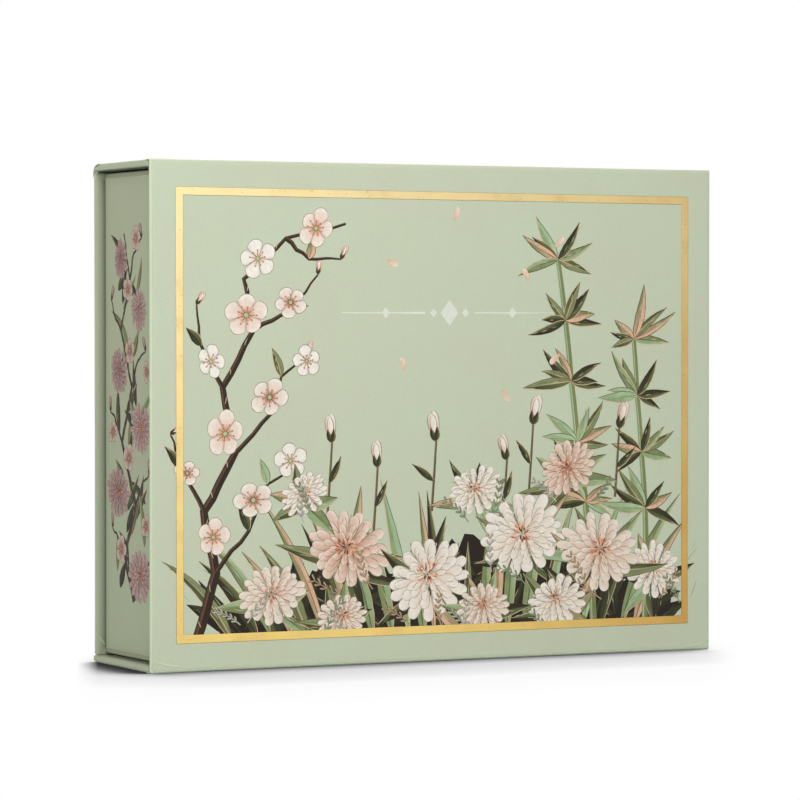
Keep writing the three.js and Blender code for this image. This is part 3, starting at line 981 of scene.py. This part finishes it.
def undergrowth(sheet):
    """The dark mass behind the flowers, and the blades that rise from it."""
    for share in even(CLUMPS - 1):
        a = -41 + 88 * share
        height = 17 - 10 * abs(a - 5) / 50
        dark_clump(sheet, (a, FOOT + rng.uniform(0, 3)), rng.uniform(6, 8), height)
    for _ in range(NIGHT_BLADES):
        a = rng.uniform(-46, 53)
        fullness = 1 - abs(a - 8) / 62
        root = (a, FOOT + rng.uniform(-2, 9) * fullness)
        length, angle = rng.uniform(7, 15), rng.uniform(20, 160)
        leaf(sheet, root, length, angle, rng.uniform(2.0, 3.4), rng.uniform(-40, 40), LEAF_NIGHT)
    for share in even(TALL_BLADES - 1):
        a = -47 + 101 * share + rng.uniform(-2, 2)
        lean = (a - 5) * 0.9
        kind = rng.choice((LEAF_OLIVE, LEAF_GREEN, LEAF_TAN, LEAF_DARK, LEAF_MINT))
        length, width = rng.uniform(18, 33), rng.uniform(1.8, 3.0)
        leaf(sheet, (a, FOOT - 1), length, 92 - lean * 0.5, width, -lean * 0.8, kind, 16)


def bamboo(sheet):
    for stem in CULMS:
        for k, node in enumerate(culm(sheet, *stem)[2:]):
            side = 1 if k % 2 else -1
            fan(sheet, node, 90 - side * 62, 4, 10.5, 2.1, 70)
            fan(sheet, node, 90 + side * 80, 3, 8.5, 1.9, 60)


def plum_branch(sheet):
    twig(sheet, PLUM_TRUNK, 2.2, 0.5)
    for spur in PLUM_SPURS:
        twig(sheet, spur, 1.0, 0.35)
        for spot in spur[1:-1]:
            leaf(sheet, spot, rng.uniform(4, 7), rng.uniform(0, 150), 2.0, 20, rng.choice(LEAF_KINDS), 9)
        bud(sheet, spur[-1], 3.0, rng.uniform(30, 110), PINK_PLUM)
    for k, (a, b, radius) in enumerate(PLUM_BLOSSOMS):
        tones = (PINK_PLUM, BLUSH, SNOW)[k % 3]
        plum_blossom(sheet, (a, b), radius, tones, rng.uniform(0.8, 1), rng.uniform(0, 6))


def flower_bed(sheet):
    for a, b, angle in TALL_BUDS:
        stroke(sheet, [(a - 1, b - 14), (a - 0.4, b - 6), (a, b)], 0.55, 0.45, BARK, OLIVE)
        leaf(sheet, (a - 0.6, b - 8), 6, angle + rng.choice((-38, 38)), 1.5, 12, LEAF_DARK, 9)
        bud(sheet, (a, b), rng.uniform(4.8, 6.4), angle, rng.choice((BLUSH, IVORY)))
    for a, b, radius, tones, squash, turn in HEADS:
        fan(sheet, (a, b - radius * 0.4), rng.uniform(40, 140), 6, radius * 1.7, 2.8, 240)
        lean = (rng.uniform(-0.1, 0.1) * radius, rng.uniform(0.0, 0.16) * radius)
        chrysanthemum(sheet, (a, b), radius, tones, squash, turn, lean)
        for _ in range(2):
            spot = (a + rng.uniform(-1, 1) * radius, b - radius * rng.uniform(0.7, 1.1))
            length, angle = rng.uniform(5.5, 7.5), rng.uniform(20, 160)
            sprig(sheet, spot, length, angle, rng.choice((SEAFOAM, TAN, CHALK)))


def lozenge(sheet, centre, half_width, half_height, rim, fill):
    a, b = centre
    corners = [(half_width, 0), (0, half_height), (-half_width, 0), (0, -half_height)]
    rows = [[(a + u * share, b + v * share) for u, v in corners] for share in (1.0, 0.6, 0.2)]
    sheet.lay((rows, [([rim] * 4, [rim] * 4), ([fill] * 4, [fill] * 4)], True))


def ornament(sheet, centre):
    """Lozenges on a fine rule, a common printer's ornament."""
    a, b = centre
    for side in (-1, 1):
        stroke(sheet, [(a + side * reach, b) for reach in (5.5, 14, 24)], 0.42, 0.16, CHALK)
        lozenge(sheet, (a + side * 3.6, b), 0.8, 0.9, CHALK, CHALK)
        lozenge(sheet, (a + side * 14.2, b), 0.9, 1.1, CHALK, CHALK)
    lozenge(sheet, centre, 2.0, 2.6, CHALK, CHALK)


def finish_print(piece, across, up):
    """A plain map straight onto the sheet, for the print's own colours."""
    layer = piece.data.uv_layers.new(name="OFBake")
    points = [(v.co[across], v.co[up]) for v in piece.data.vertices]
    lows = [min(row) for row in zip(*points)]
    spans = [max(row) - low for row, low in zip(zip(*points), lows)]
    for loop in piece.data.loops:
        point = points[loop.vertex_index]
        layer.data[loop.index].uv = [(value - low) / span for value, low, span in zip(point, lows, spans)]


def lid_print():
    sheet = Print(*LID_SHEET)
    undergrowth(sheet)
    bamboo(sheet)
    plum_branch(sheet)
    flower_bed(sheet)
    for spot in LOOSE_PETALS:
        tones = (TAN, PETAL_WHITE, PETAL_PINK, PEACH)
        sheet.lay(petal_plate(spot, 2.8, rng.uniform(0, 360), 1.7, tones, 40))
    ornament(sheet, ORNAMENT_AT)
    shape = sheet.shape(lambda a, b, h: (a, front + FOIL_ROOM - h, b), PRINT_ROOM)
    finish_print(make_piece("lid_print", shape, ink, "lid"), 0, 2)


# Tray: how far the sleeve reaches past its solid, its bands of painted shade at top and bottom, and the
# sheets on its short ends
SLEEVE_LOWER, SLEEVE_HIGHER = 0.06, 0.05
PAINTED_SHADE_BAND, PAINTED_SHADE_SHARE = 0.7, 0.78
END_SHEET = 0.07
CUT_TINT = 1.35
PAINTED_EDGE_SHADOW = (0.5, 0.5, 0.45)
NOTCH_RADIUS = 10.0


def tray_sleeve():
    """One paper over the tray's walls: outside, round rim, inside, and the room for the boards."""

    def place(a, b, depth):
        return (a, depth, b)

    wall = tray_liner.x0 - tray.x0
    rim, inner = 0.42, 0.3
    low, high = tray.y0, tray.y1
    # The first rings are painted shade in the crevice against the base; the round rim is painted a little
    # lighter.
    profile = [(0.16, high, 0.5), (0.03, high - 0.3, 0.8), (0, high - 0.8, 1.0), (0, 0, 1.0)]
    for sine, cosine in quarter():
        profile.append((rim * (1 - cosine), low + rim * (1 - sine), 1 + 0.05 * sine))
    for sine, cosine in quarter():
        profile.append((wall - inner * (1 - sine), low + inner * (1 - cosine), 1.05 - 0.05 * sine))
    floor = tray_floor.y0
    profile += [(wall, 0, 1.0), (wall, floor, 1.0), (wall - paper, floor, 1.0)]
    profile += [(wall - paper, low + paper, 1.0), (paper, low + paper, 1.0), (paper, high, 1.0)]
    span = (tray.x0, tray.x1, tray.z0 - SLEEVE_LOWER, tray.z1 + SLEEVE_HIGHER)
    shape = stack(place, span, profile, 0.3, 0.04, closed=True)
    # Painted shade: the sleeve is darker along its top and bottom ends, by the gaps under the spine and over
    # the flap.
    low, high = tray.z0 + PAINTED_SHADE_BAND, tray.z1 - PAINTED_SHADE_BAND
    shape.repaint(lambda p, paint: paint if low < p[2] < high else tuple(part * PAINTED_SHADE_SHARE for part in paint))
    make_piece("tray_sleeve", shape, sage_shade, "base", ["tray_wrap"])


def end_sheet(side):
    """The printed sheet on a short end of the tray, with its pale cut edge at the back and a painted shadow
    line along its other edges.
    """
    node = f"tray_end_print_{side}"
    sheet = box_of(node)
    glued, outward = (sheet.x1, -1) if side == "left" else (sheet.x0, 1)
    face = END_SHEET + 0.01

    def place(a, b, height):
        return (glued + outward * height, a, b)

    # A painted shadow line replaces the pale cut on all but the back edge.
    def cut(p, paint):
        return PAINTED_EDGE_SHADOW if paint[0] == CUT_TINT and p[1] < sheet.y1 - 0.4 else paint

    profile = [(1, 0, 1.0), (0, 0, CUT_TINT), (0, END_SHEET, CUT_TINT), (BEVEL, face, 1.0), (2, face, 1.0)]
    shape = stack(place, (sheet.y0, sheet.y1, sheet.z0, sheet.z1), profile, 0.3, 0.03)
    shape.repaint(cut)
    make_piece(f"tray_end_sheet_{side}", shape, sage_shade, "base", [node])
    motifs = end_print(Print(sheet.y0 + 0.15, sheet.y1 - 0.15, sheet.z0 + 0.2, sheet.z1 - 0.2))
    art = motifs.shape(lambda a, b, h: place(a, b, face + 0.002 + h), 0.05)
    finish_print(make_piece(f"tray_end_motifs_{side}", art, ink, "base"), 1, 2)


# The end print's branch, its spurs, and flower heads and blossoms as across, up and radius
END_BLADES = 34
END_TRUNK = ((-2, 13), (2.5, 22), (-3, 32), (4, 44), (-1, 55), (4.5, 66), (0, 76), (3, 85))
END_SPURS = (
    ((2.5, 22), (6.6, 25.5), (9, 27)), ((-3, 32), (-6, 36), (-9.5, 38)), ((4, 44), (7.8, 49), (10, 50)),
    ((-1, 55), (-4, 60), (-8, 62)), ((4.5, 66), (7.8, 69), (9.5, 72)), ((0, 76), (-2, 81), (-6, 84)),
)
END_HEADS = ((-5, 18, 6.0), (6, 34, 5.8), (-5.5, 47, 5.4), (5.5, 58, 4.8), (-4.5, 70, 4.4), (4.5, 80, 4.0))
END_BLOSSOMS = (
    (4.5, 23, 2.9), (-8, 28, 2.5), (0.5, 41, 3.0), (8.6, 46, 2.5),
    (0, 62, 2.7), (-8.5, 58, 2.3), (1, 74, 2.5), (-3, 84, 2.5),
)


def end_print(sheet):
    """A tall plum branch in dusky colours, with flower heads, buds and narrow leaves."""
    for _ in range(END_BLADES):
        root = (rng.uniform(-8, 8), rng.uniform(14, 80))
        kind = rng.choice((LEAF_NIGHT, LEAF_OLIVE, LEAF_GREEN, LEAF_DARK))
        length, angle = rng.uniform(6, 11), rng.uniform(30, 150)
        leaf(sheet, root, length, angle, rng.uniform(1.6, 2.4), rng.uniform(-30, 30), kind)
    twig(sheet, END_TRUNK, 1.5, 0.5)
    for spur in END_SPURS:
        twig(sheet, spur, 0.8, 0.35)
        bud(sheet, spur[-1], 3.2, rng.uniform(60, 120), DUSK)
    for k, (a, b, radius) in enumerate(END_HEADS):
        chrysanthemum(sheet, (a, b), radius, (DUSK_PALE, DUSK)[k % 2], 0.85, 0.3 * k, (0, 0.4))
    for a, b, radius in END_BLOSSOMS:
        plum_blossom(sheet, (a, b), radius, DUSK_PALE, 0.9, rng.uniform(0, 6))
    return sheet


def divider_wall():
    """The wall between the wells, with round edges and a half-round finger notch."""
    middle = (divider.z0 + divider.z1) / 2
    edge = 0.34

    def outline(inset):
        low, high = divider.z0 + inset, divider.z1 - inset
        rim, foot = divider.y0 + inset, divider.y1
        ring = NOTCH_RADIUS + inset
        level = middle - math.sqrt(ring**2 - inset**2) - 8 - low
        side = [(foot, 0), ((foot + rim) / 2, 0), (rim + 0.5, 0), (rim + 0.15, 0.15), (rim, 0.5)]
        side.append((rim, level))
        start = math.asin(inset / ring)
        turns = [start + (math.pi - 2 * start) * share for share in even(36)]
        notch = [(divider.y0 + ring * math.sin(t), middle - ring * math.cos(t)) for t in turns]
        return [(y, low + z) for y, z in side] + notch + [(y, high - z) for y, z in reversed(side)]

    sections = [(edge * (1 - s), -divider.x1 + edge * (1 - c)) for s, c in quarter()]
    sections += [(inset, -x) for inset, x in reversed(sections)]
    shape = Shape()
    join_rings(shape, [[(x, y, z) for y, z in outline(inset)] for inset, x in sections])
    make_piece("divider_cover", shape, sage_shade, "base", ["divider_wrap"])


def well_sheet():
    sheet = tray_liner

    def place(a, b, depth):
        return (a, sheet.y1 - depth, b)

    thick = sheet.y1 - sheet.y0
    profile = [(1, 0, 1.0), (0, 0, 1.0), (0, thick - BEVEL, 1.0), (BEVEL, thick, 1.0), (2, thick, 1.0)]
    shape = stack(place, (sheet.x0, sheet.x1, sheet.z0, sheet.z1), profile, 0.3)
    make_piece("tray_lining", shape, cream, "base", ["tray_liner"])


# Piles and their numbers of cards
PILES = (
    ("cards_dots", 36), ("cards_bamboo", 36), ("cards_spare", 3), ("card_top_left", 1),
    ("cards_characters", 36), ("cards_honours", 28), ("cards_flowers", 11), ("card_top_right", 1),
)
# Cards: the round of their corners, and the margin and lattice of their backs
CARD_CORNER = 3.2
MARGIN = 3.2
LATTICE = (4.4, 5.2)
ROSETTE_ROOM = 13.5


def card(shape, middle, low, y_front, y_back, size):
    """One card with round corners, set a little off its neighbours."""
    width, height = size
    slip, drop = rng.uniform(-0.16, 0.16), rng.uniform(0, 0.16)
    x0, z0 = middle - width / 2 + slip, low + drop
    tint = rng.uniform(0.9, 1.0)
    rings = []
    for inset, y in ((0.05, y_back - 0.01), (0, y_back - 0.04), (0, y_front + 0.04), (0.05, y_front + 0.01)):
        plan = rounded_rectangle((x0, x0 + width, z0, z0 + height), inset, CARD_CORNER - inset)
        rings.append([(x, y, z) for x, z in plan])
    # Each card's back rim is painted darker, a painted shade line between neighbours; the tint itself differs
    # at random.
    join_rings(shape, rings, [tint * 0.85, tint, tint, tint])


def pile(node, cards):
    """A pile of separate cards in the place of one solid."""
    space = box_of(node)
    size = (space.x1 - space.x0, space.z1 - space.z0)
    thick = (space.y1 - space.y0) / cards
    shape = Shape()
    for k in range(cards):
        y_back = space.y1 - k * thick
        card(shape, (space.x0 + space.x1) / 2, space.z0, y_back - thick, y_back, size)
    make_piece(f"{node}_stack", shape, stock, "base", [node])


def card_back(node):
    """The pattern on the back of a top card: a border and a lattice of lozenges round a rosette."""
    space = box_of(node)
    face = (space.x0, space.x1, space.z0, space.z1)
    middle = ((space.x0 + space.x1) / 2, (space.z0 + space.z1) / 2)
    sheet = Print(*face)
    ground, line, pale = linear(168, 184, 152), linear(214, 182, 128), linear(222, 226, 208)
    plans = [rounded_rectangle(face, MARGIN + more, 1.2) for more in (0, 2, 12)]
    paint = [ground] * len(plans[0])
    sheet.lay((plans, [(paint, paint), (paint, paint)], True))
    for inset, width, colour in ((MARGIN + 1.2, 0.5, line), (MARGIN + 2.6, 0.25, pale)):
        rings = [rounded_rectangle(face, inset + more, 1.1) for more in (0, width)]
        rings = [ring + ring[:1] for ring in rings]
        paint = [colour] * len(rings[0])
        sheet.lay((rings, [(paint, paint)], False))
    reach = [(high - low) / 2 - MARGIN - 4.6 for low, high in (face[:2], face[2:])]
    columns, rows = (int(2 * size / pitch) for size, pitch in zip(reach, LATTICE))
    for i in range(-columns, columns + 1):
        for j in range(-rows, rows + 1):
            a, b = i * LATTICE[0] / 2, j * LATTICE[1] / 2
            inside = abs(a) < reach[0] and abs(b) < reach[1]
            if (i + j) % 2 == 0 and inside and math.hypot(a, b) > ROSETTE_ROOM:
                lozenge(sheet, (middle[0] + a, middle[1] + b), 1.5, 1.8, pale, line)
    chrysanthemum(sheet, middle, 11.0, IVORY, 1.0, 0.0)
    for i in (-1, 1):
        for j in (-1, 1):
            plum_blossom(sheet, (middle[0] + i * 17.5, middle[1] + j * 32.5), 3.2, PINK_PLUM, 1.0, 0.3)
    shape = sheet.shape(lambda a, b, h: (a, space.y0 + 0.006 - h, b), 0.05)
    finish_print(make_piece(f"{node}_back", shape, ink, "base"), 0, 2)


# Materials
class Nodes:
    """A node tree, and short ways to add nodes to it."""

    def __init__(self, tree):
        self.tree = tree

    def node(self, kind, **settings):
        made = self.tree.nodes.new(kind)
        for key, value in settings.items():
            setattr(made, key, value)
        return made

    def set(self, socket, value):
        if isinstance(value, bpy.types.NodeSocket):
            self.tree.links.new(value, socket)
        else:
            socket.default_value = (*value, 1.0) if isinstance(value, tuple) and len(value) == 3 else value

    def maths(self, operation, first, second, clamp=False):
        made = self.node("ShaderNodeMath", operation=operation, use_clamp=clamp)
        self.set(made.inputs[0], first)
        self.set(made.inputs[1], second)
        return made.outputs["Value"]

    def choose(self, share, first, second):
        """The second shader by a share, and the first for the rest."""
        made = self.node("ShaderNodeMixShader")
        for socket, value in zip(made.inputs, (share, first, second)):
            self.set(socket, value)
        return made.outputs[0]

    def rays(self):
        """Is Camera Ray, and Is Glossy Ray with Is Transmission Ray added."""
        path = self.node("ShaderNodeLightPath").outputs
        mirrored = self.maths("ADD", path["Is Glossy Ray"], path["Is Transmission Ray"], True)
        return path["Is Camera Ray"], mirrored


class Skin(Nodes):
    """A material, from its grain and its colours."""

    def __init__(self, name):
        self.material = bpy.data.materials.new(name)
        self.material.use_nodes = True
        super().__init__(self.material.node_tree)
        self.shader = self.tree.nodes["Principled BSDF"]
        self.place = self.node("ShaderNodeTexCoord").outputs["Object"]

    def noise(self, per_metre, detail=2.0, stretch=None):
        made = self.node("ShaderNodeTexNoise")
        source = self.place
        if stretch:
            scaled = self.node("ShaderNodeMapping")
            self.set(scaled.inputs["Vector"], self.place)
            scaled.inputs["Scale"].default_value = stretch
            source = scaled.outputs["Vector"]
        self.set(made.inputs["Vector"], source)
        made.inputs["Scale"].default_value = per_metre
        made.inputs["Detail"].default_value = detail
        return made.outputs["Fac"]

    def spread(self, value, low, high, to_low, to_high):
        made = self.node("ShaderNodeMapRange")
        names = ("Value", "From Min", "From Max", "To Min", "To Max")
        for name, number in zip(names, (value, low, high, to_low, to_high)):
            self.set(made.inputs[name], number)
        return made.outputs["Result"]

    def mix(self, factor, first, second, way="MIX"):
        made = self.node("ShaderNodeMix", data_type="RGBA", blend_type=way)
        for index, value in ((0, factor), (6, first), (7, second)):
            self.set(made.inputs[index], value)
        return made.outputs[2]

    def times(self, first, second):
        return self.mix(1.0, first, second, "MULTIPLY")

    def grey(self, value):
        made = self.node("ShaderNodeCombineColor")
        for index in range(3):
            self.set(made.inputs[index], value)
        return made.outputs["Color"]

    def base(self, colour):
        self.set(self.shader.inputs["Base Color"], colour)

    def rough(self, grain, low, high):
        self.set(self.shader.inputs["Roughness"], self.spread(grain, 0.3, 0.7, low, high))

    def paint(self):
        return self.node("ShaderNodeAttribute", attribute_name="paint").outputs["Color"]

    def bump(self, height, strength, depth):
        made = self.node("ShaderNodeBump")
        made.inputs["Strength"].default_value = strength
        made.inputs["Distance"].default_value = depth
        self.set(made.inputs["Height"], height)
        self.set(self.shader.inputs["Normal"], made.outputs["Normal"])


def paper_skin(name, cool, warm, roughness=0.62, grain=0.05):
    """Matt paper: faint cool and warm clouds, fibres, and the mesh's own paint."""
    skin = Skin(name)
    clouds = skin.spread(skin.noise(55, 3.0), 0.35, 0.65, 0.0, 1.0)
    colour = skin.mix(clouds, cool, warm)
    fibre = skin.noise(2600, 4.0, (1.0, 1.0, 2.4))
    light = skin.spread(fibre, 0.3, 0.7, 1 - grain, 1 + grain)
    skin.base(skin.times(skin.times(colour, skin.grey(light)), skin.paint()))
    skin.rough(skin.noise(400, 2.0), roughness - 0.06, roughness + 0.06)
    skin.shader.inputs["Specular IOR Level"].default_value = 0.35
    skin.bump(skin.noise(3600, 3.0), 0.25, 0.00004)
    return skin.material


def ink_skin():
    """Print on the paper: the motifs' own colours with a little of the paper's grain."""
    skin = Skin("printed_ink")
    fibre = skin.spread(skin.noise(1500, 4.0), 0.3, 0.7, 0.94, 1.05)
    skin.base(skin.times(skin.paint(), skin.grey(fibre)))
    skin.rough(skin.noise(500), 0.5, 0.62)
    skin.shader.inputs["Specular IOR Level"].default_value = 0.2
    return skin.material


def foil_skin():
    """Hot-pressed gold foil: metal with a faint cloudy gloss, fine specks, a painted reflection from pale
    gold at the head to deep gold at the right and foot, and edges made darker by the mesh's paint.
    """
    skin = Skin("gold_foil")
    specks = skin.spread(skin.noise(2300, 2.0), 0.68, 0.76, 0.0, 1.0)
    # Painted reflection: pale gold at the head and left, deepening to the right and foot, stands in for the
    # lamps' light on the metal.
    parts = skin.node("ShaderNodeSeparateXYZ")
    skin.set(parts.inputs["Vector"], skin.place)
    across = skin.spread(parts.outputs["X"], foil.x0 * MM, foil.x1 * MM, 0.0, 1.0)
    down = skin.spread(parts.outputs["Z"], foil.z1 * MM, foil.z0 * MM, 0.0, 1.0)
    mottle = skin.spread(skin.noise(120, 2.0), 0.3, 0.7, -0.08, 0.08)
    warm = skin.mix(skin.maths("ADD", down, mottle), linear(217, 197, 145), linear(225, 196, 118))
    painted_reflection_falloff = skin.maths("MULTIPLY", skin.maths("POWER", across, 2.5), skin.spread(down, 0.0, 1.0, 0.45, 1.0))
    gold = skin.mix(skin.maths("ADD", painted_reflection_falloff, mottle), warm, linear(187, 148, 80))
    gold = skin.mix(specks, gold, linear(170, 132, 84))
    skin.base(skin.times(gold, skin.paint()))
    skin.shader.inputs["Metallic"].default_value = 1.0
    skin.rough(skin.noise(300, 3.0), 0.26, 0.4)
    skin.bump(skin.noise(900, 2.0), 0.12, 0.00005)
    return skin.material


def board_skin():
    """Grey pulp board with dark and pale fibres."""
    skin = Skin("greyboard")
    fibre = skin.noise(900, 6.0, (1.0, 3.0, 1.0))
    colour = skin.mix(skin.spread(fibre, 0.35, 0.65, 0.0, 1.0), linear(148, 142, 132), linear(178, 172, 160))
    skin.base(colour)
    skin.shader.inputs["Roughness"].default_value = 0.9
    skin.bump(fibre, 0.4, 0.0001)
    return skin.material


def stock_skin():
    """Coated card: white faces, and edges with a painted shade line at each card's back rim, so that each
    card's cut shows.
    """
    skin = Skin("card_stock")
    tone = skin.mix(skin.noise(500, 3.0), linear(236, 234, 226), linear(243, 241, 235))
    skin.base(skin.times(tone, skin.paint()))
    skin.rough(skin.noise(900), 0.34, 0.46)
    skin.bump(skin.noise(5200, 2.0), 0.15, 0.00003)
    return skin.material


def metal_skin(name, dark, light, roughness, stretch=None):
    skin = Skin(name)
    grain = skin.noise(1400, 3.0, stretch)
    skin.base(skin.mix(grain, dark, light))
    skin.shader.inputs["Metallic"].default_value = 1.0
    skin.rough(grain, roughness - 0.06, roughness + 0.08)
    skin.bump(grain, 0.1, 0.00002)
    return skin.material


# Stage: camera, floor, world and lamps
# Lamps: name, place, aim, size, power in watts and colour
LAMPS = (
    ("key", (-110, -330, 205), (0, -15, 45), 230, 0.735, (1.0, 0.982, 0.985)),
    ("card", (120, -900, 330), (0, 0, 60), 380, 1.2, (1.0, 0.99, 0.98)),
    ("rear", (180, 620, 320), (0, 0, 50), 300, 1.3, (1.0, 0.99, 0.97)),
    ("side", (-280, 30, 200), (-62, 0, 50), 150, 0.12, (1.0, 0.98, 0.83)),
)
# The floor's shadow in four parts: reach in metres, the way that it looks, its power and the light left
SHADOWS = (
    (0.070, (0.7, 0.7, 0.3), 1.2, 0.93),
    (0.032, (0.7, 0.7, 0.3), 0.85, 0.74),
    (0.010, (0.9, 0.43, 0.3), 1.9, 0.23),
    (0.016, (1.0, 0.0, 0.15), 2.5, 0.22),
)
SEEN_MOST = 0.5
# Where the shadow fades, left and right: the way across, a place on the line, and widths before and after it
FADES = (
    ((0.9272, -0.3748, 0.0), (-62.9, 14.7, 0), 3.0, 1.2),
    ((-0.8542, 0.52, 0.0), (62.55, -14.93, 0), 6.0, 0.5),
)
FLOOR_REACH = 3.0
FLOOR_COLOUR = (0.58, 0.64, 0.64)
SKY_COLOUR = (1.0, 0.995, 0.9)
SKY_STRENGTH = 0.28


def stage():
    data = bpy.data.cameras.new("view")
    data.lens = CAMERA_LENS
    data.sensor_width = 36.0
    data.clip_start, data.clip_end = 0.01, 20.0
    camera = put("view", data)
    camera.location = [c * MM for c in CAMERA_AT]
    camera.rotation_mode = "QUATERNION"
    camera.rotation_quaternion = Vector(CAMERA_LOOK).to_track_quat("-Z", "Y")
    bpy.context.scene.camera = camera
    bpy.context.scene.view_settings.view_transform = "Standard"
    floor()
    world()
    for settings in LAMPS:
        lamp(*settings)


def lamp(name, at, aim, size, power, colour):
    data = bpy.data.lights.new(name, "AREA")
    data.shape = "SQUARE"
    data.color = colour
    data.size = size * MM
    data.energy = power
    made = put(name, data)
    made.location = [c * MM for c in at]
    made.rotation_mode = "QUATERNION"
    made.rotation_quaternion = (Vector(aim) - Vector(at)).to_track_quat("-Z", "Y")


def world():
    """White where the camera, a gloss or a glass looks, and an even studio light for the rest."""
    sky = bpy.data.worlds.new("studio")
    sky.use_nodes = True
    bpy.context.scene.world = sky
    nodes = Nodes(sky.node_tree)
    light = nodes.tree.nodes["Background"]
    light.inputs["Color"].default_value = (*SKY_COLOUR, 1.0)
    light.inputs["Strength"].default_value = SKY_STRENGTH
    white = nodes.node("ShaderNodeBackground")
    white.inputs["Color"].default_value = (1.0, 1.0, 1.0, 1.0)
    either = nodes.maths("ADD", *nodes.rays(), True)
    chosen = nodes.choose(either, light.outputs[0], white.outputs[0])
    nodes.set(nodes.tree.nodes["World Output"].inputs["Surface"], chosen)


def shadow_share(skin, reach, toward, power):
    """How much of the object a place on the floor sees within reach, mainly in one direction."""
    near = skin.node("ShaderNodeAmbientOcclusion", samples=32)
    near.inputs["Distance"].default_value = reach
    facing = skin.node("ShaderNodeCombineXYZ")
    for index, part in enumerate(Vector(toward).normalized()):
        facing.inputs[index].default_value = part
    skin.set(near.inputs["Normal"], facing.outputs["Vector"])
    return skin.maths("POWER", skin.spread(near.outputs["AO"], 1.0, 1 - SEEN_MOST, 0.0, 1.0), power)


def fade(skin, across, place, before, after):
    """0 to 1 across a line on the floor."""
    along = skin.node("ShaderNodeVectorMath", operation="DOT_PRODUCT")
    skin.set(along.inputs[0], skin.place)
    along.inputs[1].default_value = across
    line = Vector(place).dot(Vector(across))
    return skin.spread(along.outputs["Value"], (line - before) * MM, (line + after) * MM, 0.0, 1.0)


def floor():
    """A white floor that keeps the object's soft shadow, and lets what hangs below it show."""
    mesh = bpy.data.meshes.new("floor")
    corners = [(a * FLOOR_REACH, b * FLOOR_REACH, 0) for a, b in ((-1, -1), (1, -1), (1, 1), (-1, 1))]
    mesh.from_pydata(corners, [], [(0, 1, 2, 3)])
    put("floor", mesh)
    skin = Skin("floor")
    tree = skin.tree
    tree.nodes.remove(skin.shader)
    open_share = 1.0
    for reach, toward, power, left in SHADOWS:
        share = shadow_share(skin, reach, toward, power)
        open_share = skin.maths("MULTIPLY", open_share, skin.spread(share, 0, 1, 1, left))
    kept = skin.maths("MULTIPLY", *(fade(skin, *settings) for settings in FADES))
    shaded = skin.maths("MULTIPLY", open_share, kept)
    open_share = skin.maths("ADD", shaded, skin.maths("SUBTRACT", 1.0, kept))
    clear = skin.node("ShaderNodeBsdfTransparent")
    skin.set(clear.inputs["Color"], open_share)
    matt = skin.node("ShaderNodeBsdfDiffuse")
    matt.inputs["Color"].default_value = (*FLOOR_COLOUR, 1.0)
    bright = skin.node("ShaderNodeEmission")
    seen, mirrored = skin.rays()
    lit = skin.choose(mirrored, matt.outputs[0], bright.outputs[0])
    skin.set(tree.nodes["Material Output"].inputs["Surface"], skin.choose(seen, lit, clear.outputs[0]))
    mesh.materials.append(skin.material)


sage = paper_skin("sage_paper", linear(199, 209, 184), linear(200, 206, 182), grain=0.03)
# The tray's paper is the sage paper painted a little darker: a painted shade copy.
sage_shade = paper_skin("sage_tray_painted_shade", linear(198, 207, 180), linear(199, 204, 178), grain=0.03)
cream = paper_skin("lining_paper", linear(232, 228, 214), linear(236, 230, 216), 0.7)
ink = ink_skin()
gold = foil_skin()
board = board_skin()
stock = stock_skin()
nickel = metal_skin("nickel", linear(186, 186, 182), linear(206, 205, 200), 0.25)
steel = metal_skin("steel_disc", linear(150, 151, 154), linear(182, 183, 186), 0.38, (1.0, 12.0, 1.0))

stage()
cover()
folds()
hinges()
foil_line()
lid_print()
tray_sleeve()
end_sheet("left")
end_sheet("right")
divider_wall()
well_sheet()
for name, count in PILES:
    pile(name, count)
card_back("card_top_left")
card_back("card_top_right")

for name, node in frame["nodes"].items():
    skin = board
    if "magnet" in name:
        skin = nickel
    if "steel_disc" in name:
        skin = steel
    for holder in node.material_slots:
        holder.material = skin
